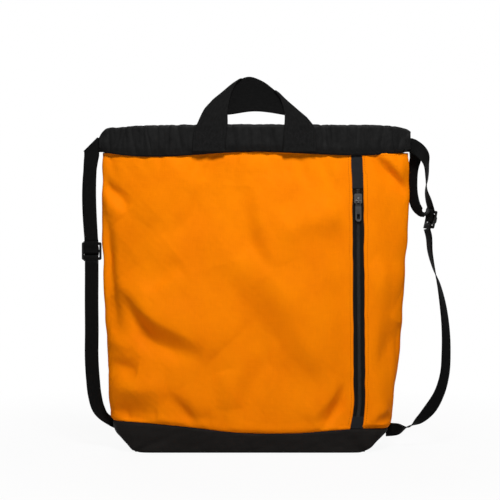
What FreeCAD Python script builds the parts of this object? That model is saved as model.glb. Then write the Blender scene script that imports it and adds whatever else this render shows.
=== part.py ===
"""Drawstring backpack: an empty cinch bag with webbing shoulder straps, carry handle and zip pocket.

Units are millimetres. +Z is up, the front of the bag faces -Y and +X is to the right of somebody
looking at the front. The origin is the middle of the underside of the base.
Each piece is written to parts/NODE.step.
"""
import FreeCAD, Part
import math
import os
from collections import namedtuple

V = FreeCAD.Vector

# ---------------------------------------------------------------- driving dimensions
BASE_HEIGHT = 34.0           # top of the black base fabric
PANEL_HEIGHT = 368.0         # orange panels, from the base seam to the casing seam
CASING_HEIGHT = 38.0         # drawstring casing above the panels
FABRIC = 1.2                 # coated polyester with its lining
CASING_FABRIC = 0.9
BOTTOM_THICKNESS = 2.0       # stiffened bottom panel

BASE_WIDTH = 308.0           # plan of the underside
BASE_DEPTH = 100.0
SEAM_WIDTH = 376.0           # width across the base seam
TOP_WIDTH = 418.6            # width across the casing seam
MOUTH_DEPTH = 30.0           # front to back across the casing seam

CASING_LEFT = -206.0         # ends of the casing
CASING_RIGHT = 219.0
CASING_THICKNESS = 9.0       # outer thickness of one casing in the middle
CASING_END_THICKNESS = 7.0
CASING_END_GAP = 1.0         # between the two casings at their ends

STRAP_WIDTH = 20.0           # shoulder strap webbing
STRAP_THICKNESS = 1.4
STRAP_LIFT = 0.5             # of the webbing above the floor of the casing

ZIP_X = 146.5                # line of the zip
ZIP_OPENING = 16.0           # between the fabric edges beside the zip
ZIP_FLAT = 18.0              # half width of the flat band along the zip
ZIP_BLEND = 45.0             # half width where the bag's own curve takes over
TAPE_WIDTH = 15.0            # one zip tape
TAPE_THICKNESS = 0.8
COIL_WIDTH = 2.6
COIL_HEIGHT = 1.6
COIL_BOTTOM = 46.6
COIL_TOP = 353.6

SLIDER_Z = 339.0             # middle of the closed zip's slider
SLIDER_WIDTH = 10.5
SLIDER_LENGTH = 13.5
SLIDER_CAP = 1.5
SLIDER_GAP = 0.3             # around the coil and above the tape
BAIL_WIDTH = 2.4
BAIL_BAR = 1.2
BAIL_LENGTH = 7.6
BAIL_ROOM = 2.3              # clear height under the bail
BAIL_DROP = 3.0              # of the bail below the middle of the slider
PULL_LENGTH = 28.5
PULL_WIDTH = 8.0
PULL_THICKNESS = 1.4
PULL_BAR = 1.5
PULL_WINDOW = 4.9            # from the pull's pivot to the end of its upper window

HANDLE_THICKNESS = 1.8
HANDLE_LEFT = -76.0          # outer edges of the two sewn legs
HANDLE_RIGHT = 88.7
HANDLE_WEBBING = 42.0
HANDLE_RISE = 62.5           # top of the loop above its fold
HANDLE_CROWN = 47.0          # height of the crown
HANDLE_FOLD_ROOM = 3.7       # free webbing between the fold and the sewn leg
HANDLE_FOLD_LIFT = 2.0       # of the fold above the casing

BUCKLE_WIDTH = 27.0          # tri-glide sliders
BUCKLE_LENGTH = 24.5
BUCKLE_THICKNESS = 2.6
BUCKLE_RAIL = 4.0
BUCKLE_SIDE = 3.0
BUCKLE_ROUND = 2.5
BUCKLE_EDGE = 0.6            # rounding of its edges
WEAVE_REACH = 13.5           # woven webbing, from the middle of the slider

POCKET_WIDTH = 130.0         # pocket bag behind the zip
POCKET_DEPTH = 9.0
POCKET_FABRIC = 0.8
POCKET_BOTTOM = 70.0
POCKET_TOP = 330.0

# ---------------------------------------------------------------- shape of the bag
PANEL_TOP = BASE_HEIGHT + PANEL_HEIGHT
CASING_TOP = PANEL_TOP + CASING_HEIGHT

Row = namedtuple("Row", "z half_width shift half_depth square")

# Underside to base seam: share of the height, share of the way from base width to seam width
BASE_SHAPE = [(0.0, 0.0, 12.0), (0.18, 0.25, 9.0), (0.40, 0.52, 7.0), (0.68, 0.82, 5.0), (1.0, 1.0, 4.0)]
# Base seam to casing seam: share of the height, share of the way from seam width to top width,
# shift to the right, share of the way from base depth to mouth depth, squareness of the plan
PANEL_SHAPE = [(0.0, 0.0, 2.0, 0.0, 4.0), (0.10, 0.25, 3.2, 0.05, 3.4), (0.23, 0.52, 5.0, 0.13, 2.9),
               (0.46, 0.79, 5.1, 0.36, 2.3), (0.60, 0.92, 6.0, 0.52, 2.15), (0.73, 1.0, 6.9, 0.67, 2.1),
               (0.88, 1.03, 8.0, 0.87, 2.0), (1.0, 1.0, 7.5, 1.0, 2.0)]


def mix(a, b, share):
    return a + (b - a) * share


def base_rows():
    rows = []
    for height, widening, square in BASE_SHAPE:
        half_width = mix(BASE_WIDTH, SEAM_WIDTH, widening) / 2.0
        shift = PANEL_SHAPE[0][2] * widening
        rows.append(Row(height * BASE_HEIGHT, half_width, shift, BASE_DEPTH / 2.0, square))
    return rows


def panel_rows():
    rows = []
    for height, widening, shift, thinning, square in PANEL_SHAPE:
        half_width = mix(SEAM_WIDTH, TOP_WIDTH, widening) / 2.0
        half_depth = mix(BASE_DEPTH, MOUTH_DEPTH, thinning) / 2.0
        rows.append(Row(BASE_HEIGHT + height * PANEL_HEIGHT, half_width, shift, half_depth, square))
    return rows


def plan_depth(x, row, inset=0.0):
    """Distance of the bag's front or back from the middle plane, in the plan at one height."""
    share = min(1.0, abs(x - row.shift) / (row.half_width - inset))
    return (row.half_depth - inset) * (1.0 - share ** row.square) ** (1.0 / row.square)


def zip_y(z):
    """Front face of the flat band that carries the zip: straight from base seam to casing seam."""
    rows = panel_rows()
    bottom = -plan_depth(ZIP_X, rows[0])
    top = -plan_depth(ZIP_X, rows[-1])
    return mix(bottom, top, (z - BASE_HEIGHT) / PANEL_HEIGHT)


def zip_share(x):
    """1 on the flat band beside the zip, falling smoothly to 0."""
    away = (abs(x - ZIP_X) - ZIP_FLAT) / (ZIP_BLEND - ZIP_FLAT)
    away = min(1.0, max(0.0, away))
    return 1.0 - away * away * (3.0 - 2.0 * away)


def front_y(x, row, inset=0.0):
    return mix(-plan_depth(x, row, inset), zip_y(row.z) + inset, zip_share(x))


def back_y(x, row, inset=0.0):
    return plan_depth(x, row, inset)


# ---------------------------------------------------------------- small helpers
def save(name, shape):
    """Write one node. A shape made of one solid is written as that solid."""
    if len(shape.Solids) == 1:
        shape = shape.Solids[0]
    if not shape.isValid() or shape.Volume <= 0.0:
        print("CHECK", name, "valid:", shape.isValid(), "volume:", round(shape.Volume, 3))
    shape.exportStep(os.path.join("parts", name + ".step"))


def spline(points):
    curve = Part.BSplineCurve()
    curve.interpolate(points)
    return curve.toShape()


def spaced(points, count):
    """The same line of points, spaced evenly along its length."""
    lengths = [0.0]
    for here, after in zip(points, points[1:]):
        lengths.append(lengths[-1] + here.distanceToPoint(after))
    result = [points[0]]
    place = 0
    for number in range(1, count - 1):
        target = lengths[-1] * number / (count - 1)
        while lengths[place + 1] < target:
            place += 1
        share = (target - lengths[place]) / (lengths[place + 1] - lengths[place])
        result.append(points[place] + (points[place + 1] - points[place]) * share)
    result.append(points[-1])
    return result


def box(x0, x1, y0, y1, z0, z1):
    return Part.makeBox(x1 - x0, y1 - y0, z1 - z0, V(x0, y0, z0))


def plate(outline, y0, y1):
    """A flat plate from an outline of (x, z) points, between two depths."""
    points = [V(x, y0, z) for x, z in outline]
    face = Part.Face(Part.makePolygon(points + [points[0]]))
    return face.extrude(V(0, y1 - y0, 0))


def strip(x0, x1, z0, z1, depth0, depth1):
    """A piece of the zip: flat, along the band, between two depths behind its front face."""
    corners = [(z0, depth0), (z1, depth0), (z1, depth1), (z0, depth1)]
    points = [V(x0, zip_y(z) + depth, z) for z, depth in corners]
    face = Part.Face(Part.makePolygon(points + [points[0]]))
    return face.extrude(V(x1 - x0, 0, 0))


def outside_of(shape, *others):
    """What is left of a shape on the outside of the pieces that it is sewn to."""
    for other in others:
        shape = shape.cut(other)
    return max(shape.Solids, key=lambda solid: solid.Volume)


# ---------------------------------------------------------------- panels and base
PLAN_STEPS = 240
PLAN_POINTS = 34


def plan_line(row, depth_at, inset, x0=None, x1=None):
    """Points of the plan at one height, from x0 to x1 or from side seam to side seam."""
    half = row.half_width - inset
    start = 0.0 if x0 is None else math.acos(-(x0 - row.shift) / half)
    stop = math.pi if x1 is None else math.acos(-(x1 - row.shift) / half)
    points = []
    for step in range(PLAN_STEPS + 1):
        angle = mix(start, stop, step / PLAN_STEPS)
        x = row.shift - half * math.cos(angle)
        seam = (step == 0 and x0 is None) or (step == PLAN_STEPS and x1 is None)
        points.append(V(x, 0.0 if seam else depth_at(x, row, inset), row.z))
    return spaced(points, PLAN_POINTS)


def panel_wire(outer, inner, band):
    """Closed strip of fabric in plan. band tells where a straight flat band joins: first, last or None."""
    first, last = (band == "first"), (band == "last")
    edges = []
    if first:
        edges.append(Part.makeLine(outer[0], outer[1]))
    edges.append(spline(outer[1:] if first else outer[:-1] if last else outer))
    if last:
        edges.append(Part.makeLine(outer[-2], outer[-1]))
    edges.append(Part.makeLine(outer[-1], inner[-1]))
    back = inner[::-1]
    if last:
        edges.append(Part.makeLine(back[0], back[1]))
    edges.append(spline(back[1:] if last else back[:-1] if first else back))
    if first:
        edges.append(Part.makeLine(back[-2], back[-1]))
    edges.append(Part.makeLine(inner[0], outer[0]))
    return Part.Wire(edges)


def make_panel(depth_at, x0=None, x1=None):
    """A fabric panel between the side seams, or to the edge beside the zip."""
    wires = []
    for row in panel_rows():
        lines = []
        for inset in (0.0, FABRIC):
            band0 = None if x0 is None else ZIP_X + ZIP_FLAT
            band1 = None if x1 is None else ZIP_X - ZIP_FLAT
            line = plan_line(row, depth_at, inset, band0, band1)
            if x0 is not None:
                line = [V(x0, zip_y(row.z) + inset, row.z)] + line
            if x1 is not None:
                line = line + [V(x1, zip_y(row.z) + inset, row.z)]
            lines.append(line)
        band = "first" if x0 is not None else "last" if x1 is not None else None
        wires.append(panel_wire(lines[0], lines[1], band))
    return Part.makeLoft(wires, True, False)


def front_main_panel():
    return make_panel(front_y, None, ZIP_X - ZIP_OPENING / 2.0)


def front_side_panel():
    return make_panel(front_y, ZIP_X + ZIP_OPENING / 2.0, None)


def back_panel():
    return make_panel(back_y)


def base_plan(row, inset):
    front = plan_line(row, lambda x, r, i: -plan_depth(x, r, i), inset)
    back = plan_line(row, back_y, inset)[::-1]
    return Part.Wire([spline(front), spline(back)])


def base_panel():
    """Boxed base: one wall all round, joined to a stiffer bottom."""
    rows = base_rows()
    outer = Part.makeLoft([base_plan(row, 0.0) for row in rows], True, False)
    floor = rows[0]._replace(z=BOTTOM_THICKNESS)
    inner = Part.makeLoft([base_plan(row, FABRIC) for row in [floor] + rows[1:]], True, False)
    return outer.cut(inner)


# ---------------------------------------------------------------- drawstring casings
# Along the casing: share of its length, fall of its top below the middle
CASING_SHAPE = [(0.0, 13.0), (0.02, 6.5), (0.05, 3.2), (0.10, 2.0), (0.20, 0.8), (0.35, 0.0), (0.50, 0.0),
                (0.65, 0.0), (0.80, 0.5), (0.90, 1.2), (0.95, 1.8), (0.98, 4.5), (1.0, 10.0)]


def casing_middle(x):
    """Distance of the casing's middle from the middle plane, and half its thickness."""
    top = panel_rows()[-1]
    share = min(1.0, abs(x - mix(CASING_LEFT, CASING_RIGHT, 0.5)) / (CASING_RIGHT - CASING_LEFT) * 2.0)
    half = mix(CASING_THICKNESS, CASING_END_THICKNESS, share ** 3) / 2.0
    over_panel = plan_depth(x, top) - FABRIC / 2.0
    least = half + CASING_END_GAP / 2.0
    return math.hypot(max(over_panel, 0.0), least), half


def casing_section(x, fall, inset, side):
    middle, half = casing_middle(x)
    middle *= side
    half -= inset
    floor = PANEL_TOP + inset
    top = CASING_TOP - fall - inset
    shoulder = top - half
    a, b = V(x, middle - half, floor), V(x, middle + half, floor)
    c, d = V(x, middle + half, shoulder), V(x, middle - half, shoulder)
    arc = Part.Arc(c, V(x, middle, top), d).toShape()
    return Part.Wire([Part.makeLine(a, b), Part.makeLine(b, c), arc, Part.makeLine(d, a)])


def make_casing(side):
    """One tunnel of fabric, sewn on the top edge of a panel and open at both ends."""
    shells = []
    for inset in (0.0, CASING_FABRIC):
        wires = []
        for share, fall in CASING_SHAPE:
            x = mix(CASING_LEFT, CASING_RIGHT, share)
            wires.append(casing_section(x, fall, inset, side))
        shells.append(Part.makeLoft(wires, True, False))
    return shells[0].cut(shells[1])


# ---------------------------------------------------------------- webbing
Station = namedtuple("Station", "place across along")


def ribbon(stations, width=STRAP_WIDTH, thickness=STRAP_THICKNESS):
    """Flat webbing through stations: its middle, the direction across it and the one along it."""
    wires = []
    for place, across, along in stations:
        along = V(along).normalize()
        thick = along.cross(across).normalize()
        wide = thick.cross(along).normalize()
        corners = []
        for w, t in ((-1, -1), (1, -1), (1, 1), (-1, 1)):
            corners.append(place + wide * (w * width / 2.0) + thick * (t * thickness / 2.0))
        wires.append(Part.makePolygon(corners + [corners[0]]))
    return Part.makeLoft(wires, True, False)


def route(rows, start_along=None, end_along=None):
    """Stations from (x, y, z, (across x, y, z)) rows, their directions taken from their neighbours."""
    places = [V(*row[:3]) for row in rows]
    stations = []
    for number, row in enumerate(rows):
        before = places[max(0, number - 1)]
        after = places[min(len(rows) - 1, number + 1)]
        along = after - before
        if number == 0 and start_along is not None:
            along = start_along
        if number == len(rows) - 1 and end_along is not None:
            along = end_along
        stations.append(Station(places[number], V(*row[3]), along))
    return stations


STRAP_MIDDLE = PANEL_TOP + CASING_FABRIC + STRAP_LIFT + STRAP_WIDTH / 2.0
STRAP_OFFSET = 1.1           # of each strap from the middle of the casing
STRAP_STOP = 8.0             # hidden end of a strap inside the far end of the casing
CHANNEL_STEPS = 24


def channel_strand(x0, x1, side, offset):
    """Webbing inside a casing, following its curve."""
    lines = ([], [])
    for step in range(CHANNEL_STEPS + 1):
        x = mix(x0, x1, step / CHANNEL_STEPS)
        y = side * (casing_middle(x)[0] + offset)
        lines[0].append(V(x, y - STRAP_THICKNESS / 2, STRAP_MIDDLE - STRAP_WIDTH / 2))
        lines[1].append(V(x, y + STRAP_THICKNESS / 2, STRAP_MIDDLE - STRAP_WIDTH / 2))
    lines[1].reverse()
    face = Part.Face(Part.Wire([spline(lines[0]), Part.makeLine(lines[0][-1], lines[1][0]),
                                spline(lines[1]), Part.makeLine(lines[1][-1], lines[0][0])]))
    return face.extrude(V(0, 0, STRAP_WIDTH))


def strap_channel(name):
    """The two strands of one shoulder strap that lie inside the front and the back casing."""
    if name == "left":
        x0, x1, offset = CASING_LEFT, CASING_RIGHT - STRAP_STOP, STRAP_OFFSET
    else:
        x0, x1, offset = CASING_LEFT + STRAP_STOP, CASING_RIGHT, -STRAP_OFFSET
    return Part.makeCompound([channel_strand(x0, x1, side, offset) for side in (-1, 1)])


def strap_exit_y(name):
    """Distance of a strap's strands from the middle plane where they leave the casing."""
    x = CASING_LEFT if name == "left" else CASING_RIGHT
    offset = STRAP_OFFSET if name == "left" else -STRAP_OFFSET
    return casing_middle(x)[0] + offset


# ---------------------------------------------------------------- tri-glide sliders
Slider = namedtuple("Slider", "place turn lean")
LEFT_SLIDER = Slider(V(-217.0, 0.0, 268.0), 0.0, 0.0)
RIGHT_SLIDER = Slider(V(247.5, 0.0, 311.5), -70.0, 12.0)


def slider_placement(slider):
    """Turn about the slider's own length, then lean to the right."""
    turn = FreeCAD.Rotation(V(0, 0, 1), slider.turn)
    lean = FreeCAD.Rotation(V(0, 1, 0), slider.lean)
    return FreeCAD.Placement(slider.place, lean.multiply(turn))


def buckle():
    """Flat plate with two slots and a bar between them, corners and edges rounded."""
    body = box(-BUCKLE_WIDTH / 2, BUCKLE_WIDTH / 2, -BUCKLE_THICKNESS / 2, BUCKLE_THICKNESS / 2,
               -BUCKLE_LENGTH / 2, BUCKLE_LENGTH / 2)
    corners = [edge for edge in body.Edges if abs(edge.tangentAt(edge.FirstParameter).y) > 0.99]
    body = body.makeFillet(BUCKLE_ROUND, corners)
    slot_x = BUCKLE_WIDTH / 2 - BUCKLE_SIDE
    slot_high = BUCKLE_LENGTH / 2 - BUCKLE_RAIL
    for low, high in ((BUCKLE_RAIL / 2, slot_high), (-slot_high, -BUCKLE_RAIL / 2)):
        body = body.cut(box(-slot_x, slot_x, -BUCKLE_THICKNESS, BUCKLE_THICKNESS, low, high))
    rims = [edge for edge in body.Edges if abs(edge.CenterOfMass.y) > BUCKLE_THICKNESS / 2 - 0.01]
    return body.makeFillet(BUCKLE_EDGE, rims)


def bent_webbing(path, first, last):
    """Webbing across the slider, from a path of (y, z) points and the directions at its ends."""
    half = STRAP_THICKNESS / 2.0
    curve = Part.BSplineCurve()
    curve.interpolate(Points=[V(0, y, z) for y, z in path], InitialTangent=first, FinalTangent=last)
    sides = ([], [])
    steps = 8 * len(path)
    for step in range(steps + 1):
        at = mix(curve.FirstParameter, curve.LastParameter, step / steps)
        along = curve.tangent(at)[0]
        normal = V(0, -along.z, along.y)
        sides[0].append(curve.value(at) + normal * half)
        sides[1].append(curve.value(at) - normal * half)
    sides[1].reverse()
    edges = [spline(sides[0]), Part.makeLine(sides[0][-1], sides[1][0]),
             spline(sides[1]), Part.makeLine(sides[1][-1], sides[0][0])]
    face = Part.Face(Part.Wire(edges))
    face.translate(V(-STRAP_WIDTH / 2.0, 0, 0))
    return face.extrude(V(STRAP_WIDTH, 0, 0))


CLEAR = 0.3                  # between the webbing and the slider
RUN_Y = -(BUCKLE_THICKNESS / 2 + CLEAR + STRAP_THICKNESS / 2)
LOOP_Y = RUN_Y - STRAP_THICKNESS - 0.4
WRAP = BUCKLE_RAIL / 2 + CLEAR + STRAP_THICKNESS / 2
REAR_Y = -RUN_Y
CROSS_Y = REAR_Y + STRAP_THICKNESS + CLEAR


def running_weave():
    """The adjusting strand: in front of both rails and behind the middle bar."""
    slot = BUCKLE_LENGTH / 2 - BUCKLE_RAIL
    half = [(RUN_Y, WEAVE_REACH), (RUN_Y, slot + 2.4), (RUN_Y, slot + 0.7), (RUN_Y + 0.4, slot - 0.9),
            (RUN_Y + 1.7, slot - 2.1), (RUN_Y + 3.9, slot - 3.1), (CROSS_Y - 0.2, slot - 5.0)]
    down = V(0, 0, -1)
    return bent_webbing(half + [(CROSS_Y, 0.0)] + [(y, -z) for y, z in reversed(half)], down, down)


def loop_weave():
    """The sewn end: over the front, round the middle bar and up to itself."""
    slot = BUCKLE_LENGTH / 2 - BUCKLE_RAIL
    high, side = WRAP + 0.1, REAR_Y - 0.5
    path = [(LOOP_Y, WEAVE_REACH), (LOOP_Y, slot + 2.0), (LOOP_Y + 0.5, slot - 1.0), (LOOP_Y + 1.4, slot - 4.2),
            (RUN_Y, 0.5), (RUN_Y + 0.05, -1.7), (-side, -high + 0.5), (-side + 0.9, -high), (0.0, -high),
            (side - 0.9, -high), (side, -high + 0.5), (REAR_Y, -1.7), (REAR_Y, 1.7), (side, high - 0.5),
            (side - 0.9, high), (0.1, high + 0.05)]
    return bent_webbing(path, V(0, 0, -1), V(0, -1, 0))


def woven_end(slider, y, z):
    """Station at an end of the woven webbing, in the bag's frame."""
    placement = slider_placement(slider)
    turned = placement.Rotation
    return Station(placement.multVec(V(0, y, z)), turned.multVec(V(1, 0, 0)), turned.multVec(V(0, 0, -1)))


# ---------------------------------------------------------------- left shoulder strap
LEFT_FOLD_X = CASING_LEFT - 1.5
LEFT_EXIT_END = 392.0
LAYER_GAP = 0.1


def left_exit(side):
    """Webbing that leaves the casing flat and is folded down over a diagonal."""
    y = side * strap_exit_y("left")
    low, high = STRAP_MIDDLE - STRAP_WIDTH / 2, STRAP_MIDDLE + STRAP_WIDTH / 2
    right, left = LEFT_FOLD_X, LEFT_FOLD_X - STRAP_WIDTH
    half = STRAP_THICKNESS / 2
    layer = side * (STRAP_THICKNESS + LAYER_GAP)
    flat = plate([(CASING_LEFT, low), (CASING_LEFT, high), (right, high), (left, low)], y - half, y + half)
    down = plate([(right, high), (left, low), (left, LEFT_EXIT_END), (right, LEFT_EXIT_END)],
                 y + layer - half, y + layer + half)
    crease = plate([(right, high), (left, low), (left + 1.2, low), (right, high - 1.2)],
                   min(y, y + layer) - half, max(y, y + layer) + half)
    return flat.fuse(down).fuse(crease).removeSplitter()


def left_exit_end(side):
    y = side * (strap_exit_y("left") + STRAP_THICKNESS + LAYER_GAP)
    return (LEFT_FOLD_X - STRAP_WIDTH / 2, y, LEFT_EXIT_END, (1, 0, 0))


def left_upper(side):
    """Free strand between the folded exit and the slider: front is the sewn end, back the running one."""
    x = LEFT_SLIDER.place.x
    outward = 0.0 if side < 0 else -4.0
    y = LOOP_Y if side < 0 else RUN_Y
    start = left_exit_end(side)
    z = LEFT_SLIDER.place.z + WEAVE_REACH
    rows = [start, (mix(start[0], x, 0.3) + 0.7 * outward, mix(start[1], y, 0.2), mix(start[2], z, 0.3), (1, 0, 0)),
            (x + outward, mix(start[1], y, 0.6), mix(start[2], z, 0.62), (1, 0, 0)),
            (x, y, z, (1, 0, 0))]
    return ribbon(route(rows, V(0, 0, -1), V(0, 0, -1)))


LEFT_ANCHOR_TOP = 118.0


def left_lower():
    """Free strand below the slider."""
    start = woven_end(LEFT_SLIDER, RUN_Y, -WEAVE_REACH)
    x, z = LEFT_SLIDER.place.x, LEFT_SLIDER.place.z - WEAVE_REACH
    rows = [(x - 0.5, RUN_Y * 0.8, mix(z, LEFT_ANCHOR_TOP, 0.35), (1, 0, 0)),
            (x - 0.5, RUN_Y * 0.5, mix(z, LEFT_ANCHOR_TOP, 0.7), (1, 0, 0)),
            (x, RUN_Y * 0.3, LEFT_ANCHOR_TOP, (1, 0, 0))]
    return ribbon([start] + route(rows, V(0, 0, -1), V(0, 0, -1)))


def left_anchor(*sewn_to):
    """Lower end: curves in, turns edge-on and is sewn into the corner of the base."""
    x = LEFT_SLIDER.place.x
    rows = [(x, RUN_Y * 0.3, LEFT_ANCHOR_TOP, (1, 0, 0)),
            (x + 1.5, 0, 92.0, (1, 0.1, 0.05)),
            (x + 4.0, 0, 70.0, (1, 0.35, 0.15)),
            (x + 8.5, 0, 52.0, (0.8, 0.9, 0.3)),
            (x + 17.0, 0, 40.0, (0.15, 1, 0.2)),
            (x + 26.0, 0, 35.5, (-0.3, 0.6, 0.7)),
            (x + 48.0, 0, 33.0, (0, 0, 1))]
    return outside_of(ribbon(route(rows, V(0, 0, -1), V(1, 0, -0.1))), *sewn_to)


# ---------------------------------------------------------------- right shoulder strap
def right_exit_rows(side):
    """Stations of one right strand from the casing to the slider."""
    y = strap_exit_y("right")
    start = (CASING_RIGHT, side * y, STRAP_MIDDLE, (0, 0, 1))
    if side < 0:
        return [start, (227.5, -4.0, 409.0, (0.45, 0, 0.9)), (235.5, -6.0, 401.0, (0.75, 0.3, 0.55)),
                (240.5, -7.5, 386.0, (0.5, 0.85, 0.1)), (241.5, -6.5, 368.0, (0.3, 0.95, 0)),
                (241.0, -4.5, 351.5, (0.02, 1, 0)), (244.3, -2.5, 338.0, (-0.25, 0.96, 0))]
    return [start, (226.5, 4.5, 410.5, (0.3, -0.15, 0.93)), (231.0, 9.5, 399.0, (0.72, -0.62, 0.3)),
            (227.5, 12.5, 377.0, (0.65, -0.76, 0)), (227.0, 11.5, 360.0, (0.5, -0.87, 0)),
            (231.0, 7.5, 347.0, (0.38, -0.92, 0)), (238.0, 3.0, 338.0, (0.34, -0.94, 0)),
            (243.8, -0.3, 331.5, (0.34, -0.94, 0))]


RIGHT_EXIT_COUNT = 3         # stations of a strand that stay with the bag


def right_exit(side):
    return ribbon(route(right_exit_rows(side), V(1, 0, 0))[:RIGHT_EXIT_COUNT])


def right_upper(side):
    y = LOOP_Y if side > 0 else RUN_Y
    end = woven_end(RIGHT_SLIDER, y, WEAVE_REACH)
    rows = right_exit_rows(side)
    if end.across.dot(V(*rows[-1][3])) < 0.0:
        end = end._replace(across=-end.across)
    stations = route(rows, V(1, 0, 0), end.place - V(*rows[-2][:3]))
    return ribbon(stations[RIGHT_EXIT_COUNT - 1:] + [end])


RIGHT_ANCHOR_COUNT = 4       # stations of the lower strand that move with the slider


def right_lower_stations():
    start = woven_end(RIGHT_SLIDER, RUN_Y, -WEAVE_REACH)
    rows = [(244.7, -0.5, 290.0, (0.30, -0.95, 0)), (246.5, -1.5, 268.0, (0.2, -0.98, 0)),
            (251.0, -3.0, 246.0, (0.0, -1, 0)), (258.0, -5.0, 222.0, (-0.35, -0.93, 0)),
            (262.8, -6.0, 198.0, (-0.55, -0.83, 0)), (266.8, -6.5, 165.0, (-0.68, -0.74, 0)),
            (267.8, -6.0, 130.0, (-0.75, -0.66, 0)), (266.0, -5.0, 100.0, (-0.78, -0.62, 0.1)),
            (258.5, -3.5, 73.0, (-0.8, -0.5, 0.3)), (246.5, -2.0, 52.0, (-0.7, -0.35, 0.6)),
            (231.0, -1.0, 36.0, (-0.35, -0.75, 0.6)), (216.5, 0.0, 27.0, (0.05, -1, 0.15)),
            (202.0, 0.0, 24.0, (0.0, -0.4, 0.9)), (182.0, 0.0, 23.5, (0, 0, 1)), (160.0, 0.0, 23.0, (0, 0, 1))]
    return [start] + route(rows, None, V(-1, 0, -0.1))


def right_lower():
    return ribbon(right_lower_stations()[:RIGHT_ANCHOR_COUNT])


def right_anchor(*sewn_to):
    return outside_of(ribbon(right_lower_stations()[RIGHT_ANCHOR_COUNT - 1:]), *sewn_to)


# ---------------------------------------------------------------- carry handle
FOLD_Z = CASING_TOP + HANDLE_FOLD_LIFT


def handle_y():
    """Middle of the handle's webbing, flat against the front of the front casing."""
    middle, half = casing_middle(mix(HANDLE_LEFT, HANDLE_RIGHT, 0.5))
    return -(middle + half + HANDLE_THICKNESS / 2)


def handle_legs():
    return ((HANDLE_LEFT, HANDLE_LEFT + HANDLE_WEBBING), (HANDLE_RIGHT - HANDLE_WEBBING, HANDLE_RIGHT))


def handle_end(x0, x1, casing):
    """Sewn leg on the front of the casing."""
    y = handle_y()
    half = HANDLE_THICKNESS / 2
    leg = box(x0, x1, y - half, y + half + 1.6, PANEL_TOP, FOLD_Z - HANDLE_FOLD_ROOM)
    return outside_of(leg, casing)


def handle_flex():
    """Free webbing at the foot of both legs, which bends when the handle folds."""
    y = handle_y()
    half = HANDLE_THICKNESS / 2
    pieces = []
    for x0, x1 in handle_legs():
        web = box(x0, x1, y - half, y + half, FOLD_Z - HANDLE_FOLD_ROOM, FOLD_Z)
        pieces.append(web.cut(fold_roll(x0, x1)))
    return Part.makeCompound(pieces)


def fold_roll(x0, x1):
    return Part.makeCylinder(HANDLE_THICKNESS / 2, x1 - x0, V(x0, handle_y(), FOLD_Z), V(1, 0, 0))


def handle_loop():
    """Two legs folded over diagonals into the crown that runs behind them."""
    y = handle_y()
    half = HANDLE_THICKNESS / 2
    behind = HANDLE_THICKNESS + LAYER_GAP
    middle = mix(HANDLE_LEFT, HANDLE_RIGHT, 0.5)
    reach = (HANDLE_RIGHT - HANDLE_LEFT) / 2
    top = FOLD_Z + HANDLE_RISE
    crown_low = top - HANDLE_CROWN
    inner = reach - HANDLE_WEBBING
    pieces = []
    for side, (x0, x1) in zip((-1, 1), handle_legs()):
        leg = [(reach, FOLD_Z), (reach - 5.5, FOLD_Z + 3.0), (reach - 17.0, FOLD_Z + 22.0),
               (reach - 58.0, top - 5.5), (reach - 64.0, top - 1.5), (inner - 11.0, FOLD_Z + 42.0),
               (inner - 6.0, FOLD_Z + 30.0), (inner, FOLD_Z + 21.0), (inner, FOLD_Z)]
        outline = [(middle + side * x, z) for x, z in leg]
        pieces.append(plate(outline, y - half, y + half))
        crease = [leg[2], leg[3], (leg[3][0] - 2.5, leg[3][1] - 2.5), (leg[2][0] - 3.0, leg[2][1] - 2.5)]
        crease = [(middle + side * x, z) for x, z in crease]
        pieces.append(plate(crease, y - half, y + half + behind))
        pieces.append(fold_roll(x0, x1))
    crown = [(reach - 17.0, FOLD_Z + 22.0), (reach - 58.0, top - 5.5), (reach - 73.0, top),
             (-(reach - 73.0), top), (-(reach - 58.0), top - 5.5), (-(reach - 17.0), FOLD_Z + 22.0),
             (-(reach - 30.0), crown_low - 3.5), (-inner, crown_low - 4.0), (0.0, crown_low),
             (inner, crown_low - 4.0), (reach - 30.0, crown_low - 3.5)]
    outline = [(middle + x, z) for x, z in crown]
    shape = plate(outline, y - half + behind, y + half + behind)
    for piece in pieces:
        shape = shape.fuse(piece)
    return shape.removeSplitter()


# ---------------------------------------------------------------- zip and pocket
def zip_tape(side):
    x0, x1 = sorted((ZIP_X, ZIP_X + side * TAPE_WIDTH))
    return strip(x0, x1, BASE_HEIGHT + 2.0, PANEL_TOP - 2.0, FABRIC, FABRIC + TAPE_THICKNESS)


def zip_coil(side):
    x0, x1 = sorted((ZIP_X, ZIP_X + side * COIL_WIDTH))
    return strip(x0, x1, COIL_BOTTOM, COIL_TOP, FABRIC - COIL_HEIGHT, FABRIC)


def zip_cover(z0, z1):
    """Patch of fabric over one end of the zip, flush between the panel edges."""
    return strip(ZIP_X - ZIP_OPENING / 2, ZIP_X + ZIP_OPENING / 2, z0, z1, 0.0, FABRIC)


def zip_placement(z):
    """Frame on the band's front face: its own z runs up the zip and its own y into the bag."""
    slope = math.degrees(math.atan((zip_y(PANEL_TOP) - zip_y(BASE_HEIGHT)) / PANEL_HEIGHT))
    return FreeCAD.Placement(V(ZIP_X, zip_y(z), z), FreeCAD.Rotation(V(1, 0, 0), -slope))


COIL_FACE = FABRIC - COIL_HEIGHT
CAP_INSIDE = COIL_FACE - SLIDER_GAP
CAP_OUTSIDE = CAP_INSIDE - SLIDER_CAP


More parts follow.
